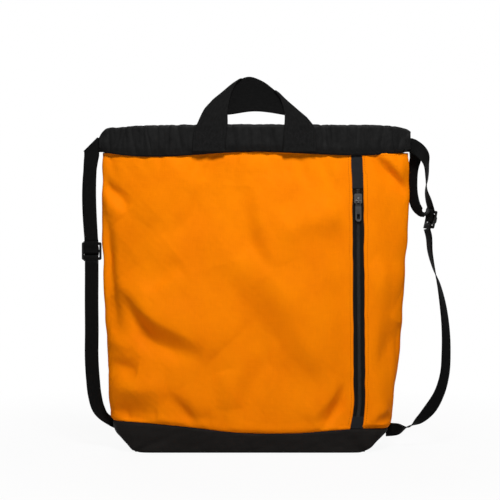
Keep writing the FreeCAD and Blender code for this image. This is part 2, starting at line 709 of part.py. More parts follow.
def zip_slider_body():
    """Cap that rides over the coils, with a flange down each side of them."""
    half_width, half_length = SLIDER_WIDTH / 2, SLIDER_LENGTH / 2
    body = box(-half_width, half_width, CAP_OUTSIDE, FABRIC - SLIDER_GAP, -half_length, half_length)
    upright = [edge for edge in body.Edges if abs(edge.tangentAt(edge.FirstParameter).y) > 0.99]
    body = body.makeFillet(2.2, upright)
    channel = COIL_WIDTH + SLIDER_GAP
    body = body.cut(box(-channel, channel, CAP_INSIDE, FABRIC, -half_length, half_length))
    body.Placement = zip_placement(SLIDER_Z)
    return body


def zip_slider_bail():
    """Arch on the cap that holds the pull."""
    half = BAIL_LENGTH / 2
    arch = box(-BAIL_WIDTH / 2, BAIL_WIDTH / 2, CAP_OUTSIDE - BAIL_ROOM - BAIL_BAR, CAP_OUTSIDE,
               -half - BAIL_DROP, half - BAIL_DROP)
    outer = [edge for edge in arch.Edges if abs(edge.tangentAt(edge.FirstParameter).x) > 0.99
             and edge.CenterOfMass.y < CAP_OUTSIDE - BAIL_ROOM]
    arch = arch.makeFillet(1.0, outer)
    room = box(-BAIL_WIDTH, BAIL_WIDTH, CAP_OUTSIDE - BAIL_ROOM, CAP_OUTSIDE,
               -half - BAIL_DROP + BAIL_BAR, half - BAIL_DROP - BAIL_BAR)
    arch = arch.cut(room)
    arch.Placement = zip_placement(SLIDER_Z)
    return arch


PULL_PIVOT_Y = CAP_OUTSIDE - BAIL_ROOM / 2


def zip_pull():
    """Tab with a window round the bail and a cross bar that turns under it."""
    y, z = PULL_PIVOT_Y, -BAIL_DROP
    half = PULL_THICKNESS / 2
    side_x = BAIL_WIDTH / 2 + 0.8
    reach = side_x + 1.5
    bar = Part.makeCylinder(PULL_BAR / 2, 2 * reach, V(-reach, y, z), V(1, 0, 0))
    end = z - PULL_LENGTH
    width = PULL_WIDTH / 2
    outline = [(-reach, z), (reach, z), (reach, z - PULL_WINDOW - 0.5), (width, z - PULL_WINDOW - 4.0),
               (width, end + 2.5), (width - 2.5, end), (2.5 - width, end), (-width, end + 2.5),
               (-width, z - PULL_WINDOW - 4.0), (-reach, z - PULL_WINDOW - 0.5)]
    tab = plate(outline, y - half, y + half)
    tab = tab.cut(box(-side_x, side_x, y - 2, y + 2, z - PULL_WINDOW, z + 1))
    tab = tab.cut(box(-width + 2.0, width - 2.0, y - 2, y + 2, end + 3.0, end + 10.0))
    pull = tab.fuse(bar).removeSplitter()
    pull.Placement = zip_placement(SLIDER_Z)
    return pull


def pocket_bag():
    """Flat pocket behind the zip, open along the zip."""
    front = FABRIC + TAPE_THICKNESS
    right = ZIP_X + TAPE_WIDTH - 1.0
    left = right - POCKET_WIDTH
    wall = POCKET_FABRIC
    outer = strip(left, right, POCKET_BOTTOM, POCKET_TOP, front, front + POCKET_DEPTH)
    inner = strip(left + wall, right - wall, POCKET_BOTTOM + wall, POCKET_TOP - wall, front + wall,
                  front + POCKET_DEPTH - wall)
    mouth = strip(ZIP_X - 6.0, ZIP_X + 6.0, POCKET_BOTTOM + 8.0, POCKET_TOP - 8.0, front - 1.0, front + 2 * wall)
    return outer.cut(inner).cut(mouth)


# ---------------------------------------------------------------- assembly
def placed(shape, slider):
    shape.Placement = slider_placement(slider)
    return shape


def build():
    os.makedirs("parts", exist_ok=True)
    main, side, back, base = front_main_panel(), front_side_panel(), back_panel(), base_panel()
    front_casing = make_casing(-1)
    nodes = {
        "front_main_panel": main,
        "front_side_panel": side,
        "back_panel": back,
        "base_panel": base,
        "front_casing": front_casing,
        "back_casing": make_casing(1),
        "pocket_bag": pocket_bag(),
        "zip_top_cover": zip_cover(COIL_TOP, PANEL_TOP),
        "zip_bottom_cover": zip_cover(BASE_HEIGHT, COIL_BOTTOM),
        "zip_slider_body": zip_slider_body(),
        "zip_slider_bail": zip_slider_bail(),
        "zip_pull": zip_pull(),
        "handle_loop": handle_loop(),
        "handle_flex": handle_flex(),
    }
    for word, sign in (("left", -1), ("right", 1)):
        nodes["zip_tape_" + word] = zip_tape(sign)
        nodes["zip_coil_" + word] = zip_coil(sign)
        nodes[word + "_strap_channel"] = strap_channel(word)
    for word, leg in zip(("left", "right"), handle_legs()):
        nodes["handle_end_" + word] = handle_end(leg[0], leg[1], front_casing)
    for word, slider in (("left", LEFT_SLIDER), ("right", RIGHT_SLIDER)):
        nodes[word + "_buckle"] = placed(buckle(), slider)
        nodes[word + "_strap_woven"] = placed(running_weave(), slider)
        nodes[word + "_strap_sewn_loop"] = placed(loop_weave(), slider)
    for word, sign in (("front", -1), ("back", 1)):
        nodes["left_strap_exit_" + word] = left_exit(sign)
        nodes["left_strap_upper_" + word] = left_upper(sign)
        nodes["right_strap_exit_" + word] = right_exit(sign)
        nodes["right_strap_upper_" + word] = right_upper(sign)
    nodes["left_strap_lower"] = left_lower()
    nodes["left_strap_anchor"] = left_anchor(main, back, base)
    nodes["right_strap_lower"] = right_lower()
    nodes["right_strap_anchor"] = right_anchor(side, back, base)
    for name, shape in nodes.items():
        save(name, shape)
    print(len(nodes), "nodes")


build()
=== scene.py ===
"""Looks of the drawstring backpack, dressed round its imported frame.

Lengths are millimetres, as in the part's own source, and become metres where a mesh is made.
+Z is up, the front of the bag faces -Y and +X is to the right of somebody looking at the front.
"""

import math
import random
from collections import namedtuple

import bpy
import numpy as np
from mathutils import Matrix, Vector


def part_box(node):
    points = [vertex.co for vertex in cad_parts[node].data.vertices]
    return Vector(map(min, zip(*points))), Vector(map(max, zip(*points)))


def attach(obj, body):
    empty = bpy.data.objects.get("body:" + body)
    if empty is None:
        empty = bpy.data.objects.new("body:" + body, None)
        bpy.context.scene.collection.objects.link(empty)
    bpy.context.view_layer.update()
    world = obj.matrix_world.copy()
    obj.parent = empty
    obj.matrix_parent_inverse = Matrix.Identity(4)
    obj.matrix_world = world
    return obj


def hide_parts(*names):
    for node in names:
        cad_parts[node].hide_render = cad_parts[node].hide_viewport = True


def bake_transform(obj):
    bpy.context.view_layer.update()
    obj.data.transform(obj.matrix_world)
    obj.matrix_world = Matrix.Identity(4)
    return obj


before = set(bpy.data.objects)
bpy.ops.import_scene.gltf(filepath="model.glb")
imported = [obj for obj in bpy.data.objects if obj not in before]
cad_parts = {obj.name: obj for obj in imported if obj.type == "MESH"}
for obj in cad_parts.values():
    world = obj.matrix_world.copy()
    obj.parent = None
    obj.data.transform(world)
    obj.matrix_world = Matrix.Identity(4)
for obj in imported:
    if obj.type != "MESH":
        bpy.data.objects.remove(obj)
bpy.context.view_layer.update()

MM = 0.001
X, Y, Z = 0, 1, 2


# ---------------------------------------------------------------- sizes
def low(node, axis):
    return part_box(node)[0][axis] / MM


def high(node, axis):
    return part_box(node)[1][axis] / MM


BASE_TOP = high("base_panel", Z)
PANEL_TOP = high("front_main_panel", Z)
CASING_TOP = high("front_casing", Z)
CASING_LEFT = low("front_casing", X)
CASING_RIGHT = high("front_casing", X)
BASE_DEPTH = high("base_panel", Y) - low("base_panel", Y)
COIL_BOTTOM = low("zip_coil_left", Z)
COIL_TOP = high("zip_coil_left", Z)
ZIP_X = high("zip_coil_left", X)

FABRIC = 1.2                 # thickness of a panel
CASING_FABRIC = 0.9
BASE_WIDTH = 310.0           # of the underside
SEAM_WIDTH = 376.0           # across the base seam
TOP_WIDTH = 418.6            # across the casing seam
MOUTH_DEPTH = 30.0           # front to back at the casing seam
SEAM_SHIFT = 2.0             # of the base seam's middle to the right
ZIP_OPENING = 16.0           # between the fabric edges beside the zip
TAPE_WIDTH = 15.0            # of each zip tape
ZIP_FLAT = 18.0              # half width of the flat band along the zip
ZIP_BLEND = 45.0             # half width where the bag's own curve takes over
STRAP_WIDTH = 18.8           # webbing, a little narrower than the slots it runs through
STRAP_THICKNESS = 1.4
WOVEN_WIDTH = 20.2           # the same webbing spread flat inside a slider
STITCH_UNDER_CASING = 5.0    # distance of a row of stitches from the seam above it
STITCH_BESIDE_ZIP = 4.0      # and from the edge of the fabric beside the zip

# Underside to base seam: share of the height, share of the widening, squareness of the plan
BASE_SHAPE = [(0.0, 0.0, 26.0), (0.18, 0.22, 16.0), (0.40, 0.50, 9.0), (0.68, 0.84, 5.5), (1.0, 1.0, 4.0)]
# Base seam to casing seam: share of the height, of the widening, shift to the right,
# share of the thinning, squareness of the plan
PANEL_SHAPE = [(0.10, 0.25, 3.2, 0.05, 3.4), (0.23, 0.52, 5.0, 0.13, 2.9), (0.46, 0.79, 5.1, 0.36, 2.3),
               (0.60, 0.92, 6.0, 0.52, 2.15), (0.73, 1.0, 6.9, 0.67, 2.1), (0.88, 1.03, 8.0, 0.87, 2.0),
               (1.0, 1.0, 7.5, 1.0, 2.0)]


def mix(a, b, share):
    return a + (b - a) * share


def ease(share):
    """0 to 1 with level ends."""
    share = np.clip(share, 0.0, 1.0)
    return share * share * (3.0 - 2.0 * share)


def smooth(xs, ys, x):
    """Curve through points: a cubic between neighbours, with the mean slope at each."""
    xs, ys = np.asarray(xs, float), np.asarray(ys, float)
    slope = np.gradient(ys, xs)
    x = np.clip(x, xs[0], xs[-1])
    here = np.clip(np.searchsorted(xs, x, side="right") - 1, 0, len(xs) - 2)
    span = xs[here + 1] - xs[here]
    t = (x - xs[here]) / span
    before = (1 + 2 * t) * (1 - t) ** 2 * ys[here] + t * (1 - t) ** 2 * span * slope[here]
    after = t * t * (3 - 2 * t) * ys[here + 1] + t * t * (t - 1) * span * slope[here + 1]
    return before + after


def lengths_along(points):
    steps = np.linalg.norm(np.diff(points, axis=0), axis=1)
    return np.concatenate([[0.0], np.cumsum(steps)])


def through(points, count):
    """Evenly spaced points of a smooth curve through a few chosen ones."""
    points = np.asarray(points, float)
    chord = lengths_along(points)
    at = np.linspace(0.0, chord[-1], count)
    return np.stack([smooth(chord, column, at) for column in points.T], axis=1)


RIPPLE_WAVES = 9


def ripple(x, z, length, seed):
    """Soft random unevenness, mostly between -1 and 1, in waves about that long."""
    pick = random.Random(seed)
    total = np.zeros(np.broadcast(x, z).shape)
    for _ in range(RIPPLE_WAVES):
        angle = pick.uniform(0.0, math.tau)
        turns = math.tau / (length * pick.uniform(0.7, 1.5))
        start = pick.uniform(0.0, math.tau)
        total += np.sin((x * math.cos(angle) + z * math.sin(angle)) * turns + start)
    return total / math.sqrt(RIPPLE_WAVES)


# ---------------------------------------------------------------- outside of the bag
def shape_rows():
    """Height, half width, shift, half depth and squareness of the plan, from floor to casing."""
    rows = []
    for share, widening, square in BASE_SHAPE:
        half_width = mix(BASE_WIDTH, SEAM_WIDTH, widening) / 2.0
        rows.append((share * BASE_TOP, half_width, SEAM_SHIFT * widening, BASE_DEPTH / 2.0, square))
    for share, widening, shift, thinning, square in PANEL_SHAPE:
        half_width = mix(SEAM_WIDTH, TOP_WIDTH, widening) / 2.0
        half_depth = mix(BASE_DEPTH, MOUTH_DEPTH, thinning) / 2.0
        rows.append((mix(BASE_TOP, PANEL_TOP, share), half_width, shift, half_depth, square))
    return np.array(rows).T


SHAPE = shape_rows()


def plan_at(z):
    """Half width, shift, half depth and squareness at a height."""
    return [smooth(SHAPE[0], column, z) for column in SHAPE[1:]]


def oval(share, square):
    """Depth of the plan, from 1 at its middle to 0 at its ends, where the share is 1."""
    return np.clip(1.0 - share ** square, 0.0, 1.0) ** (1.0 / square)


def plan_depth(x, z):
    half_width, shift, half_depth, square = plan_at(z)
    return half_depth * oval(np.clip(np.abs(x - shift) / half_width, 0.0, 1.0), square)


ZIP_DEPTH = [plan_depth(ZIP_X, BASE_TOP), plan_depth(ZIP_X, PANEL_TOP)]


def zip_y(z):
    """Front face of the flat band that carries the zip."""
    return -mix(ZIP_DEPTH[0], ZIP_DEPTH[1], (z - BASE_TOP) / (PANEL_TOP - BASE_TOP))


def zip_share(x):
    """1 on the flat band beside the zip, falling smoothly to 0."""
    return 1.0 - ease((np.abs(x - ZIP_X) - ZIP_FLAT) / (ZIP_BLEND - ZIP_FLAT))


def body_point(psi, z, side):
    """Points of the bag's outside. psi runs from the left side seam, 0, to the right one, pi."""
    half_width, shift, half_depth, square = plan_at(z)
    cosine = np.cos(psi)
    x = shift - half_width * cosine
    depth = half_depth * oval(np.abs(cosine), square)
    if side < 0:
        depth = mix(depth, -zip_y(z), zip_share(x) * (z > BASE_TOP - 0.01))
    x = x + side_wave(z) * cosine ** 6 * np.sign(cosine)
    return np.stack([x, side * depth, z + 0.0 * x], axis=-1)


def even_angles(z, count):
    """Angles round half of the plan at one height, evenly far apart along it."""
    half_width, _, half_depth, square = plan_at(z)
    psi = np.linspace(0.0, math.pi, 4001)
    cosine = np.cos(psi)
    depth = half_depth * oval(np.abs(cosine), square)
    lengths = lengths_along(np.stack([half_width * cosine, depth], axis=1))
    return np.interp(np.linspace(0.0, lengths[-1], count), lengths, psi)


def side_wave(z):
    """Slight unevenness of the outline at the side seams."""
    return 0.7 * ripple(0.0 * z, z, 46.0, 3) * ease((z - BASE_TOP) / 20.0) * ease((PANEL_TOP - z) / 20.0)


def angle_at(x, z):
    half_width, shift = plan_at(z)[:2]
    return np.arccos(np.clip(-(x - shift) / half_width, -1.0, 1.0))


# Height of the base seam across the front: it sags between its corners
BASE_SEAM = [(-192.0, 39.6), (-155.0, 39.8), (-116.0, 37.2), (-83.0, 34.2), (-20.0, 27.0), (60.0, 26.0),
             (136.0, 31.0), (165.0, 31.5), (194.0, 29.0)]


def seam_height(x, side):
    """Height of the seam between the base and the panels."""
    xs, zs = zip(*BASE_SEAM)
    if side < 0:
        return smooth(xs, zs, x)
    ends = mix(zs[0], zs[-1], ease((x - xs[0]) / (xs[-1] - xs[0])))
    return mix(ends, BASE_TOP, ease((plan_at(BASE_TOP)[0] - np.abs(x)) / 40.0))


def casing_seam(x):
    """Height of the seam under the casings."""
    return PANEL_TOP + 1.5 - 1.2 * (x / 205.0) ** 2


def zip_centre(z):
    """The zip's line: straight, with slight bends to the left at its lower end and its top."""
    return ZIP_X - 7.5 * (1.0 - ease((z - 8.0) / 62.0)) - 2.0 * ease((z - 352.0) / 60.0)


# ---------------------------------------------------------------- folds in the fabric
Fold = namedtuple("Fold", "height left right points spread", defaults=(1.0,))
"""A ridge, or a valley where height is negative. It is seen walking along its points: left and
right are the widths of its slopes, which spread by that factor towards its end."""
FRONT_FOLDS = [
    # the deep crease at the lower left: a lobe above it, a hollow below
    Fold(6.5, 34.0, 9.0, [(-178, 230), (-162, 208), (-146, 190), (-128, 177), (-104, 165), (-80, 154),
                          (-60, 142), (-46, 128)], 1.9),
    Fold(-5.5, 8.0, 30.0, [(-174, 216), (-161, 191), (-148, 168), (-134, 148), (-116, 136), (-92, 128),
                           (-66, 120)], 2.2),
    Fold(2.6, 12.0, 15.0, [(-184, 214), (-172, 186), (-160, 156), (-150, 124)]),
    # along the left side seam
    Fold(-4.4, 9.0, 12.0, [(-200, 322), (-195, 290), (-193, 250), (-188, 205), (-184, 158)]),
    Fold(2.6, 12.0, 10.0, [(-196, 152), (-178, 144), (-162, 134)]),
    Fold(-4.0, 10.0, 14.0, [(-192, 116), (-174, 112), (-150, 108)]),
    Fold(-2.6, 7.0, 9.0, [(-206, 372), (-194, 356), (-178, 344), (-164, 326)]),
    Fold(3.0, 10.0, 16.0, [(-208, 342), (-192, 332), (-176, 312)]),
    Fold(4.0, 16.0, 14.0, [(-184, 92), (-164, 84), (-144, 82), (-112, 88)]),
    Fold(-4.2, 24.0, 10.0, [(-182, 60), (-158, 46), (-124, 42)]),
    Fold(4.2, 22.0, 80.0, [(-186, 150), (-140, 124), (-92, 110), (-52, 112)]),
    # soft bands over the middle
    Fold(2.6, 12.0, 30.0, [(-96, 396), (-103, 362), (-119, 332), (-142, 304)]),
    Fold(-2.6, 30.0, 12.0, [(-60, 388), (-61, 352), (-80, 314), (-114, 284)]),
    Fold(2.2, 34.0, 11.0, [(12, 372), (13, 338), (17, 304), (26, 274), (38, 246)]),
    Fold(-2.4, 11.0, 30.0, [(-10, 356), (-8, 320), (-4, 290), (8, 264), (26, 240)]),
    Fold(3.6, 44.0, 24.0, [(-4, 270), (20, 240), (44, 212), (64, 180), (76, 146), (98, 116), (126, 86)]),
    Fold(-4.2, 24.0, 44.0, [(-36, 250), (-22, 208), (0, 178), (28, 147), (56, 116), (84, 92), (106, 72)]),
    Fold(3.2, 26.0, 20.0, [(34, 292), (66, 304), (100, 312), (136, 316)]),
    Fold(1.8, 14.0, 12.0, [(-92, 238), (-112, 220), (-134, 204)]),
    Fold(-1.8, 12.0, 14.0, [(-96, 256), (-116, 236), (-140, 212)]),
    Fold(-2.6, 12.0, 14.0, [(36, 132), (14, 112), (2, 88), (-6, 62), (-10, 40)]),
    Fold(2.2, 20.0, 16.0, [(-34, 108), (-28, 84), (-26, 58)]),
    Fold(-2.2, 8.0, 12.0, [(-112, 78), (-96, 62), (-80, 46), (-70, 34)]),
    Fold(1.8, 12.0, 10.0, [(-92, 84), (-76, 66), (-62, 48)]),
    # beside the base and the zip
    Fold(-3.6, 7.0, 12.0, [(146, 112), (138, 90), (128, 72), (112, 52), (94, 32)]),
    Fold(2.8, 12.0, 18.0, [(122, 98), (110, 78), (94, 58), (78, 40)]),
    Fold(-3.4, 6.0, 12.0, [(162, 404), (178, 388), (194, 371), (208, 356), (220, 344)]),
    Fold(3.0, 16.0, 6.0, [(174, 404), (190, 390), (206, 372), (216, 360)]),
    Fold(3.6, 22.0, 26.0, [(160, 246), (180, 232), (208, 218)]),
    Fold(-4.6, 30.0, 20.0, [(206, 170), (196, 146), (182, 124), (160, 104)]),
    Fold(-2.4, 8.0, 9.0, [(152, 24), (165, 34), (177, 42), (188, 48)]),
    Fold(2.0, 9.0, 7.0, [(150, 34), (165, 44), (177, 52), (187, 57)]),
]
BACK_FOLDS = [
    Fold(-3.6, 24.0, 20.0, [(-140, 330), (-96, 268), (-52, 220), (-22, 160), (-10, 110)]),
    Fold(3.6, 30.0, 26.0, [(-96, 340), (-46, 284), (4, 240), (36, 180)]),
    Fold(-3.4, 18.0, 24.0, [(120, 356), (92, 300), (72, 248), (66, 190), (76, 140)]),
    Fold(3.0, 26.0, 26.0, [(154, 330), (134, 270), (120, 210), (122, 150)]),
    Fold(-4.0, 13.0, 26.0, [(-176, 214), (-150, 182), (-120, 150), (-80, 128), (-40, 118)]),
    Fold(-3.4, 24.0, 12.0, [(176, 170), (150, 134), (112, 104), (70, 90)]),
    Fold(-2.2, 14.0, 14.0, [(10, 372), (4, 330), (14, 290), (8, 250)]),
]


def fold_field(x, z, fold, open_start=False):
    """Height of one fold over a grid of points. It rises and dies out along its length, or starts at its
    full height, as from a seam, with open_start."""
    path = np.array(fold.points, float)
    if len(path) > 2:
        path = through(path, 4 * len(path))
    lengths = lengths_along(path)
    nearest = np.full(x.shape, 1e9)
    share = np.zeros(x.shape)
    turn = np.zeros(x.shape)
    for start, step, length in zip(path[:-1], np.diff(path, axis=0), lengths[:-1]):
        size = math.hypot(*step)
        at = np.clip(((x - start[0]) * step[0] + (z - start[1]) * step[1]) / size ** 2, 0.0, 1.0)
        off_x, off_z = x - start[0] - at * step[0], z - start[1] - at * step[1]
        distance = np.hypot(off_x, off_z)
        closer = distance < nearest
        nearest = np.where(closer, distance, nearest)
        share = np.where(closer, (length + at * size) / lengths[-1], share)
        turn = np.where(closer, step[0] * off_z - step[1] * off_x, turn)
    width = np.where(turn > 0, fold.left, fold.right) * mix(1.0, fold.spread, share)
    share = np.clip(share, 0.0, 1.0)
    fade = np.cos(share * math.pi / 2) if open_start else np.abs(np.sin(share * math.pi)) ** 0.7
    return fold.height * fade * np.exp(-(nearest / width) ** 2)


def puckers(seed, start_z, downwards, places):
    """Short folds that fan out from a seam: place, depth, reach and lean of each."""
    pick = random.Random(seed)
    direction = -1.0 if downwards else 1.0
    folds = []
    for x, depth, reach, lean in places:
        width = pick.uniform(3.2, 4.6) + 0.05 * reach
        z = start_z(x)
        middle = (x + 0.45 * lean * reach, z + direction * reach * 0.5)
        end = (x + lean * reach, z + direction * reach)
        folds.append(Fold(-depth, width, width * pick.uniform(0.7, 1.3), [(x, z), middle, end]))
    return folds


# Gathers that the photographed front shows under its casing, and over its base seam: x, depth, reach, lean
TOP_PUCKERS = [(-196, 1.4, 34, 0.45), (-186, 0.8, 20, 0.2), (-146, 0.9, 26, 0.1), (-120, 1.1, 30, -0.15),
               (-92, 0.7, 22, -0.4), (-66, 1.5, 40, -0.45), (-47, 1.6, 44, -0.5), (-30, 0.7, 26, -0.4),
               (-18, 1.0, 34, -0.25), (2, 0.6, 24, 0.1), (23, 1.0, 30, 0.2), (44, 0.9, 34, 0.25),
               (66, 1.2, 56, 0.25), (92, 1.5, 72, 0.5), (114, 0.8, 26, 0.4), (128, 0.6, 20, 0.1),
               (168, 0.6, 18, 0.3), (200, 0.8, 22, 0.3)]
BOTTOM_PUCKERS = [(-176, 0.8, 20, 0.2), (-164, 1.3, 26, -0.15), (-144, 0.8, 18, 0.1), (-121, 1.5, 26, -0.5),
                  (-100, 0.9, 20, -0.2), (-74, 1.4, 44, -0.6), (-52, 0.8, 20, -0.3), (-33, 1.4, 44, -0.25),
                  (-10, 0.8, 24, 0.2), (18, 0.9, 26, 0.3), (44, 0.7, 20, 0.1), (70, 0.9, 26, 0.3),
                  (96, 1.2, 32, 0.7), (118, 0.7, 20, 0.2), (168, 0.9, 22, 0.3), (184, 0.9, 20, 0.2)]


def random_puckers(seed, spacing):
    """Gathers all along a seam, each with a depth, reach and lean of its own."""
    pick = random.Random(seed)
    places = []
    x = -196.0
    while x < 206.0:
        places.append((x, pick.uniform(0.4, 1.3), pick.uniform(14.0, 48.0), pick.uniform(-0.5, 0.5)))
        x += spacing * pick.uniform(0.6, 1.6)
    return places


FOLD_DEPTH = 1.6             # factor for the heights of the folds above
TOP_GATHER_DEPTH = 1.7       # and for the gathers under the casings


def fabric_relief(x, z, side):
    """How far the fabric of a panel stands out, without its seams."""
    def base_seam(at):
        return float(seam_height(np.array(at, float), side))

    relief = np.zeros(x.shape)
    for fold in FRONT_FOLDS if side < 0 else BACK_FOLDS:
        relief += FOLD_DEPTH * fold_field(x, z, fold)
    top = TOP_PUCKERS if side < 0 else random_puckers(21, 15.0)
    bottom = BOTTOM_PUCKERS if side < 0 else random_puckers(22, 18.0)
    fine = [(at, 0.4 * depth, 0.35 * reach, lean)
            for at, depth, reach, lean in random_puckers(30 + side, 7.5)]
    rows = ((5, casing_seam, top, TOP_GATHER_DEPTH), (6, base_seam, bottom, 1.0), (7, casing_seam, fine, 1.0))
    for seed, seam, places, share in rows:
        for fold in puckers(seed, seam, seam is casing_seam, places):
            relief += share * fold_field(x, z, fold, True)
    relief += 0.55 * ripple(x, z, 74.0, 11 + side) + 0.20 * ripple(x, 0.7 * z, 23.0, 13 + side)
    relief += 0.08 * ripple(x, z, 9.0, 15 + side)
    return relief


def seam_groove(distance, depth, width):
    """Groove that a row of stitches pulls into the fabric."""
    return -depth * np.exp(-(distance / width) ** 2)


# ---------------------------------------------------------------- meshes
def new_object(name, points, faces, uvs=None, corners=None):
    """A smooth-shaded mesh. uvs are in metres, one per point or one per face corner."""
    mesh = bpy.data.meshes.new(name)
    mesh.from_pydata([tuple(point) for point in np.asarray(points, float) * MM], [], faces)
    mesh.polygons.foreach_set("use_smooth", [True] * len(mesh.polygons))
    if uvs is not None:
        layer = mesh.uv_layers.new(name="cloth")
        order = np.zeros(len(mesh.loops), int)
        mesh.loops.foreach_get("vertex_index", order)
        picked = np.asarray(uvs, float)[corners if corners is not None else order]
        layer.data.foreach_set("uv", (picked * MM).astype(np.float32).ravel())
    mesh.update()
    obj = bpy.data.objects.new(name, mesh)
    bpy.context.scene.collection.objects.link(obj)
    return obj


def grid_object(name, grid, flat, closed=False, flip=False, caps=False):
    """A sheet from a grid of points (rows, columns, 3) and their places in the flat cloth (rows, columns, 2).
    A closed grid joins its last column to its first, and flat then has one column more."""
    rows, columns = grid.shape[:2]
    wide = flat.shape[1]
    across = columns if closed else columns - 1
    faces, corners = [], []
    for row in range(rows - 1):
        for column in range(across):
            after = (column + 1) % columns
            quad = [(row, column, column), (row, after, column + 1), (row + 1, after, column + 1),
                    (row + 1, column, column)]
            if flip:
                quad.reverse()
            faces.append([r * columns + c for r, c, _ in quad])
            corners += [r * wide + u for r, _, u in quad]
    if caps:
        ends = [list(range(columns))[::-1], [(rows - 1) * columns + c for c in range(columns)]]
        for row, end in zip((0, rows - 1), ends):
            faces.append(end[::-1] if flip else end)
            places = [i % columns for i in faces[-1]]
            corners += [row * wide + place for place in places]
    return new_object(name, grid.reshape(-1, 3), faces, flat.reshape(-1, 2), corners)


def flat_of(grid):
    """Place of each point of a grid in the flat cloth, from the lengths along its rows and columns."""
    across = np.linalg.norm(np.diff(grid, axis=1), axis=2)
    across = np.concatenate([np.zeros((grid.shape[0], 1)), np.cumsum(across, axis=1)], axis=1)
    along = np.linalg.norm(np.diff(grid, axis=0), axis=2)
    along = np.concatenate([np.zeros((1, grid.shape[1])), np.cumsum(along, axis=0)], axis=0)
    return np.stack([across, along], axis=-1)


def joined(name, objects):
    """One object from several, with their materials and modifiers already in place."""
    bpy.context.view_layer.update()
    for obj in objects:
        settle(obj)
    with bpy.context.temp_override(active_object=objects[0], selected_editable_objects=objects):
        bpy.ops.object.join()
    objects[0].name = name
    return objects[0]


def settle(obj):
    """Apply the modifiers, so that the mesh is final."""
    if obj.modifiers:
        bpy.context.view_layer.update()
        shown = obj.evaluated_get(bpy.context.evaluated_depsgraph_get())
        mesh = bpy.data.meshes.new_from_object(shown)
        obj.modifiers.clear()
        obj.data = mesh
    return obj


def thicken(obj, thickness, offset=-1.0, inner=False, levels=0):
    """Give a sheet its thickness, its inside optionally in the object's second material."""
    solid = obj.modifiers.new("thickness", "SOLIDIFY")
    solid.thickness = thickness * MM
    solid.offset = offset
    solid.use_even_offset = False
    if inner:
        solid.material_offset = 1
        solid.material_offset_rim = 0
    if levels:
        obj.modifiers.new("rounding", "SUBSURF").levels = levels
        obj.modifiers["rounding"].render_levels = levels
    return obj


def dress(obj, slot, *materials):
    for material in materials:
        obj.data.materials.append(material)
    return obj


def unit(vectors):
    vectors = np.asarray(vectors, float)
    return vectors / np.maximum(np.linalg.norm(vectors, axis=-1, keepdims=True), 1e-9)


# ---------------------------------------------------------------- materials
def set_inputs(node, values):
    for key, value in values.items():
        node.inputs[key].default_value = value


def add(tree, kind, settings=None, **inputs):
    """A shader node with its settings, its input values and its links."""
    node = tree.nodes.new("ShaderNode" + kind)
    for key, value in (settings or {}).items():
        setattr(node, key, value)
    for key, value in inputs.items():
        socket = node.inputs[int(key[1:])] if key[0] == "i" and key[1:].isdigit() else node.inputs[key]
        if isinstance(value, bpy.types.NodeSocket):
            tree.links.new(value, socket)
        else:
            socket.default_value = value
    return node


def surface(name, **values):
    """A material and its main shader, with the numbers that are the same all over it."""
    material = bpy.data.materials.new(name)
    material.use_nodes = True
    shader = material.node_tree.nodes["Principled BSDF"]
    set_inputs(shader, {key.replace("_", " "): value for key, value in values.items()})
    return material, material.node_tree, shader


def scaled(tree, source, across, along, depth=1.0):
    """Coordinates stretched so that one unit is that many millimetres each way."""
    stretch = (1.0 / (across * MM), 1.0 / (along * MM), 1.0 / (depth * MM))
    node = add(tree, "Mapping", Vector=source)
    node.inputs["Scale"].default_value = stretch
    return node.outputs["Vector"]


WAVE_UNIT = 20.0 / math.tau  # waves of a band texture in one unit at scale 1


def bands(tree, source, period, direction):
    """Even ridges that far apart, in millimetres, along X or Y."""
    settings = {"wave_type": "BANDS", "bands_direction": direction, "wave_profile": "SIN"}
    return add(tree, "TexWave", settings, Vector=source, Scale=1.0 / (period * MM * WAVE_UNIT)).outputs["Fac"]


def maths(tree, operation, a, b):
    """Result of a sum or the like of two sockets or numbers."""
    node = add(tree, "Math", {"operation": operation})
    for socket, value in zip(node.inputs, (a, b)):
        if isinstance(value, bpy.types.NodeSocket):
            tree.links.new(value, socket)
        else:
            socket.default_value = value
    return node.outputs[0]


def plus(tree, a, b):
    return maths(tree, "ADD", a, b)


def times(tree, a, b):
    return maths(tree, "MULTIPLY", a, b)


def noise(tree, source, size, **inputs):
    """Soft noise, with lumps about that many millimetres long each way."""
    return add(tree, "TexNoise", Vector=scaled(tree, source, *size), Scale=1.0, **inputs).outputs["Fac"]


def ramp(tree, factor, *stops):
    """A colour ramp from (place, colour) stops."""
    node = add(tree, "ValToRGB", Fac=factor)
    elements = node.color_ramp.elements
    while len(elements) < len(stops):
        elements.new(0.5)
    for element, (place, colour) in zip(elements, stops):
        element.position = place
        element.color = (*colour, 1.0)
    return node.outputs["Color"]


def grey(level):
    return (level, level, level)


def finish_surface(tree, shader, colour, wear, roughness, **bump):
    """Give a shader its colour, a roughness that follows the wear, and its fine relief."""
    tree.links.new(colour, shader.inputs["Base Color"])
    rough = add(tree, "MapRange", Value=wear)
    set_inputs(rough, {"To Min": roughness[0], "To Max": roughness[1]})
    tree.links.new(rough.outputs["Result"], shader.inputs["Roughness"])
    relief = add(tree, "Bump", **bump)
    tree.links.new(relief.outputs["Normal"], shader.inputs["Normal"])


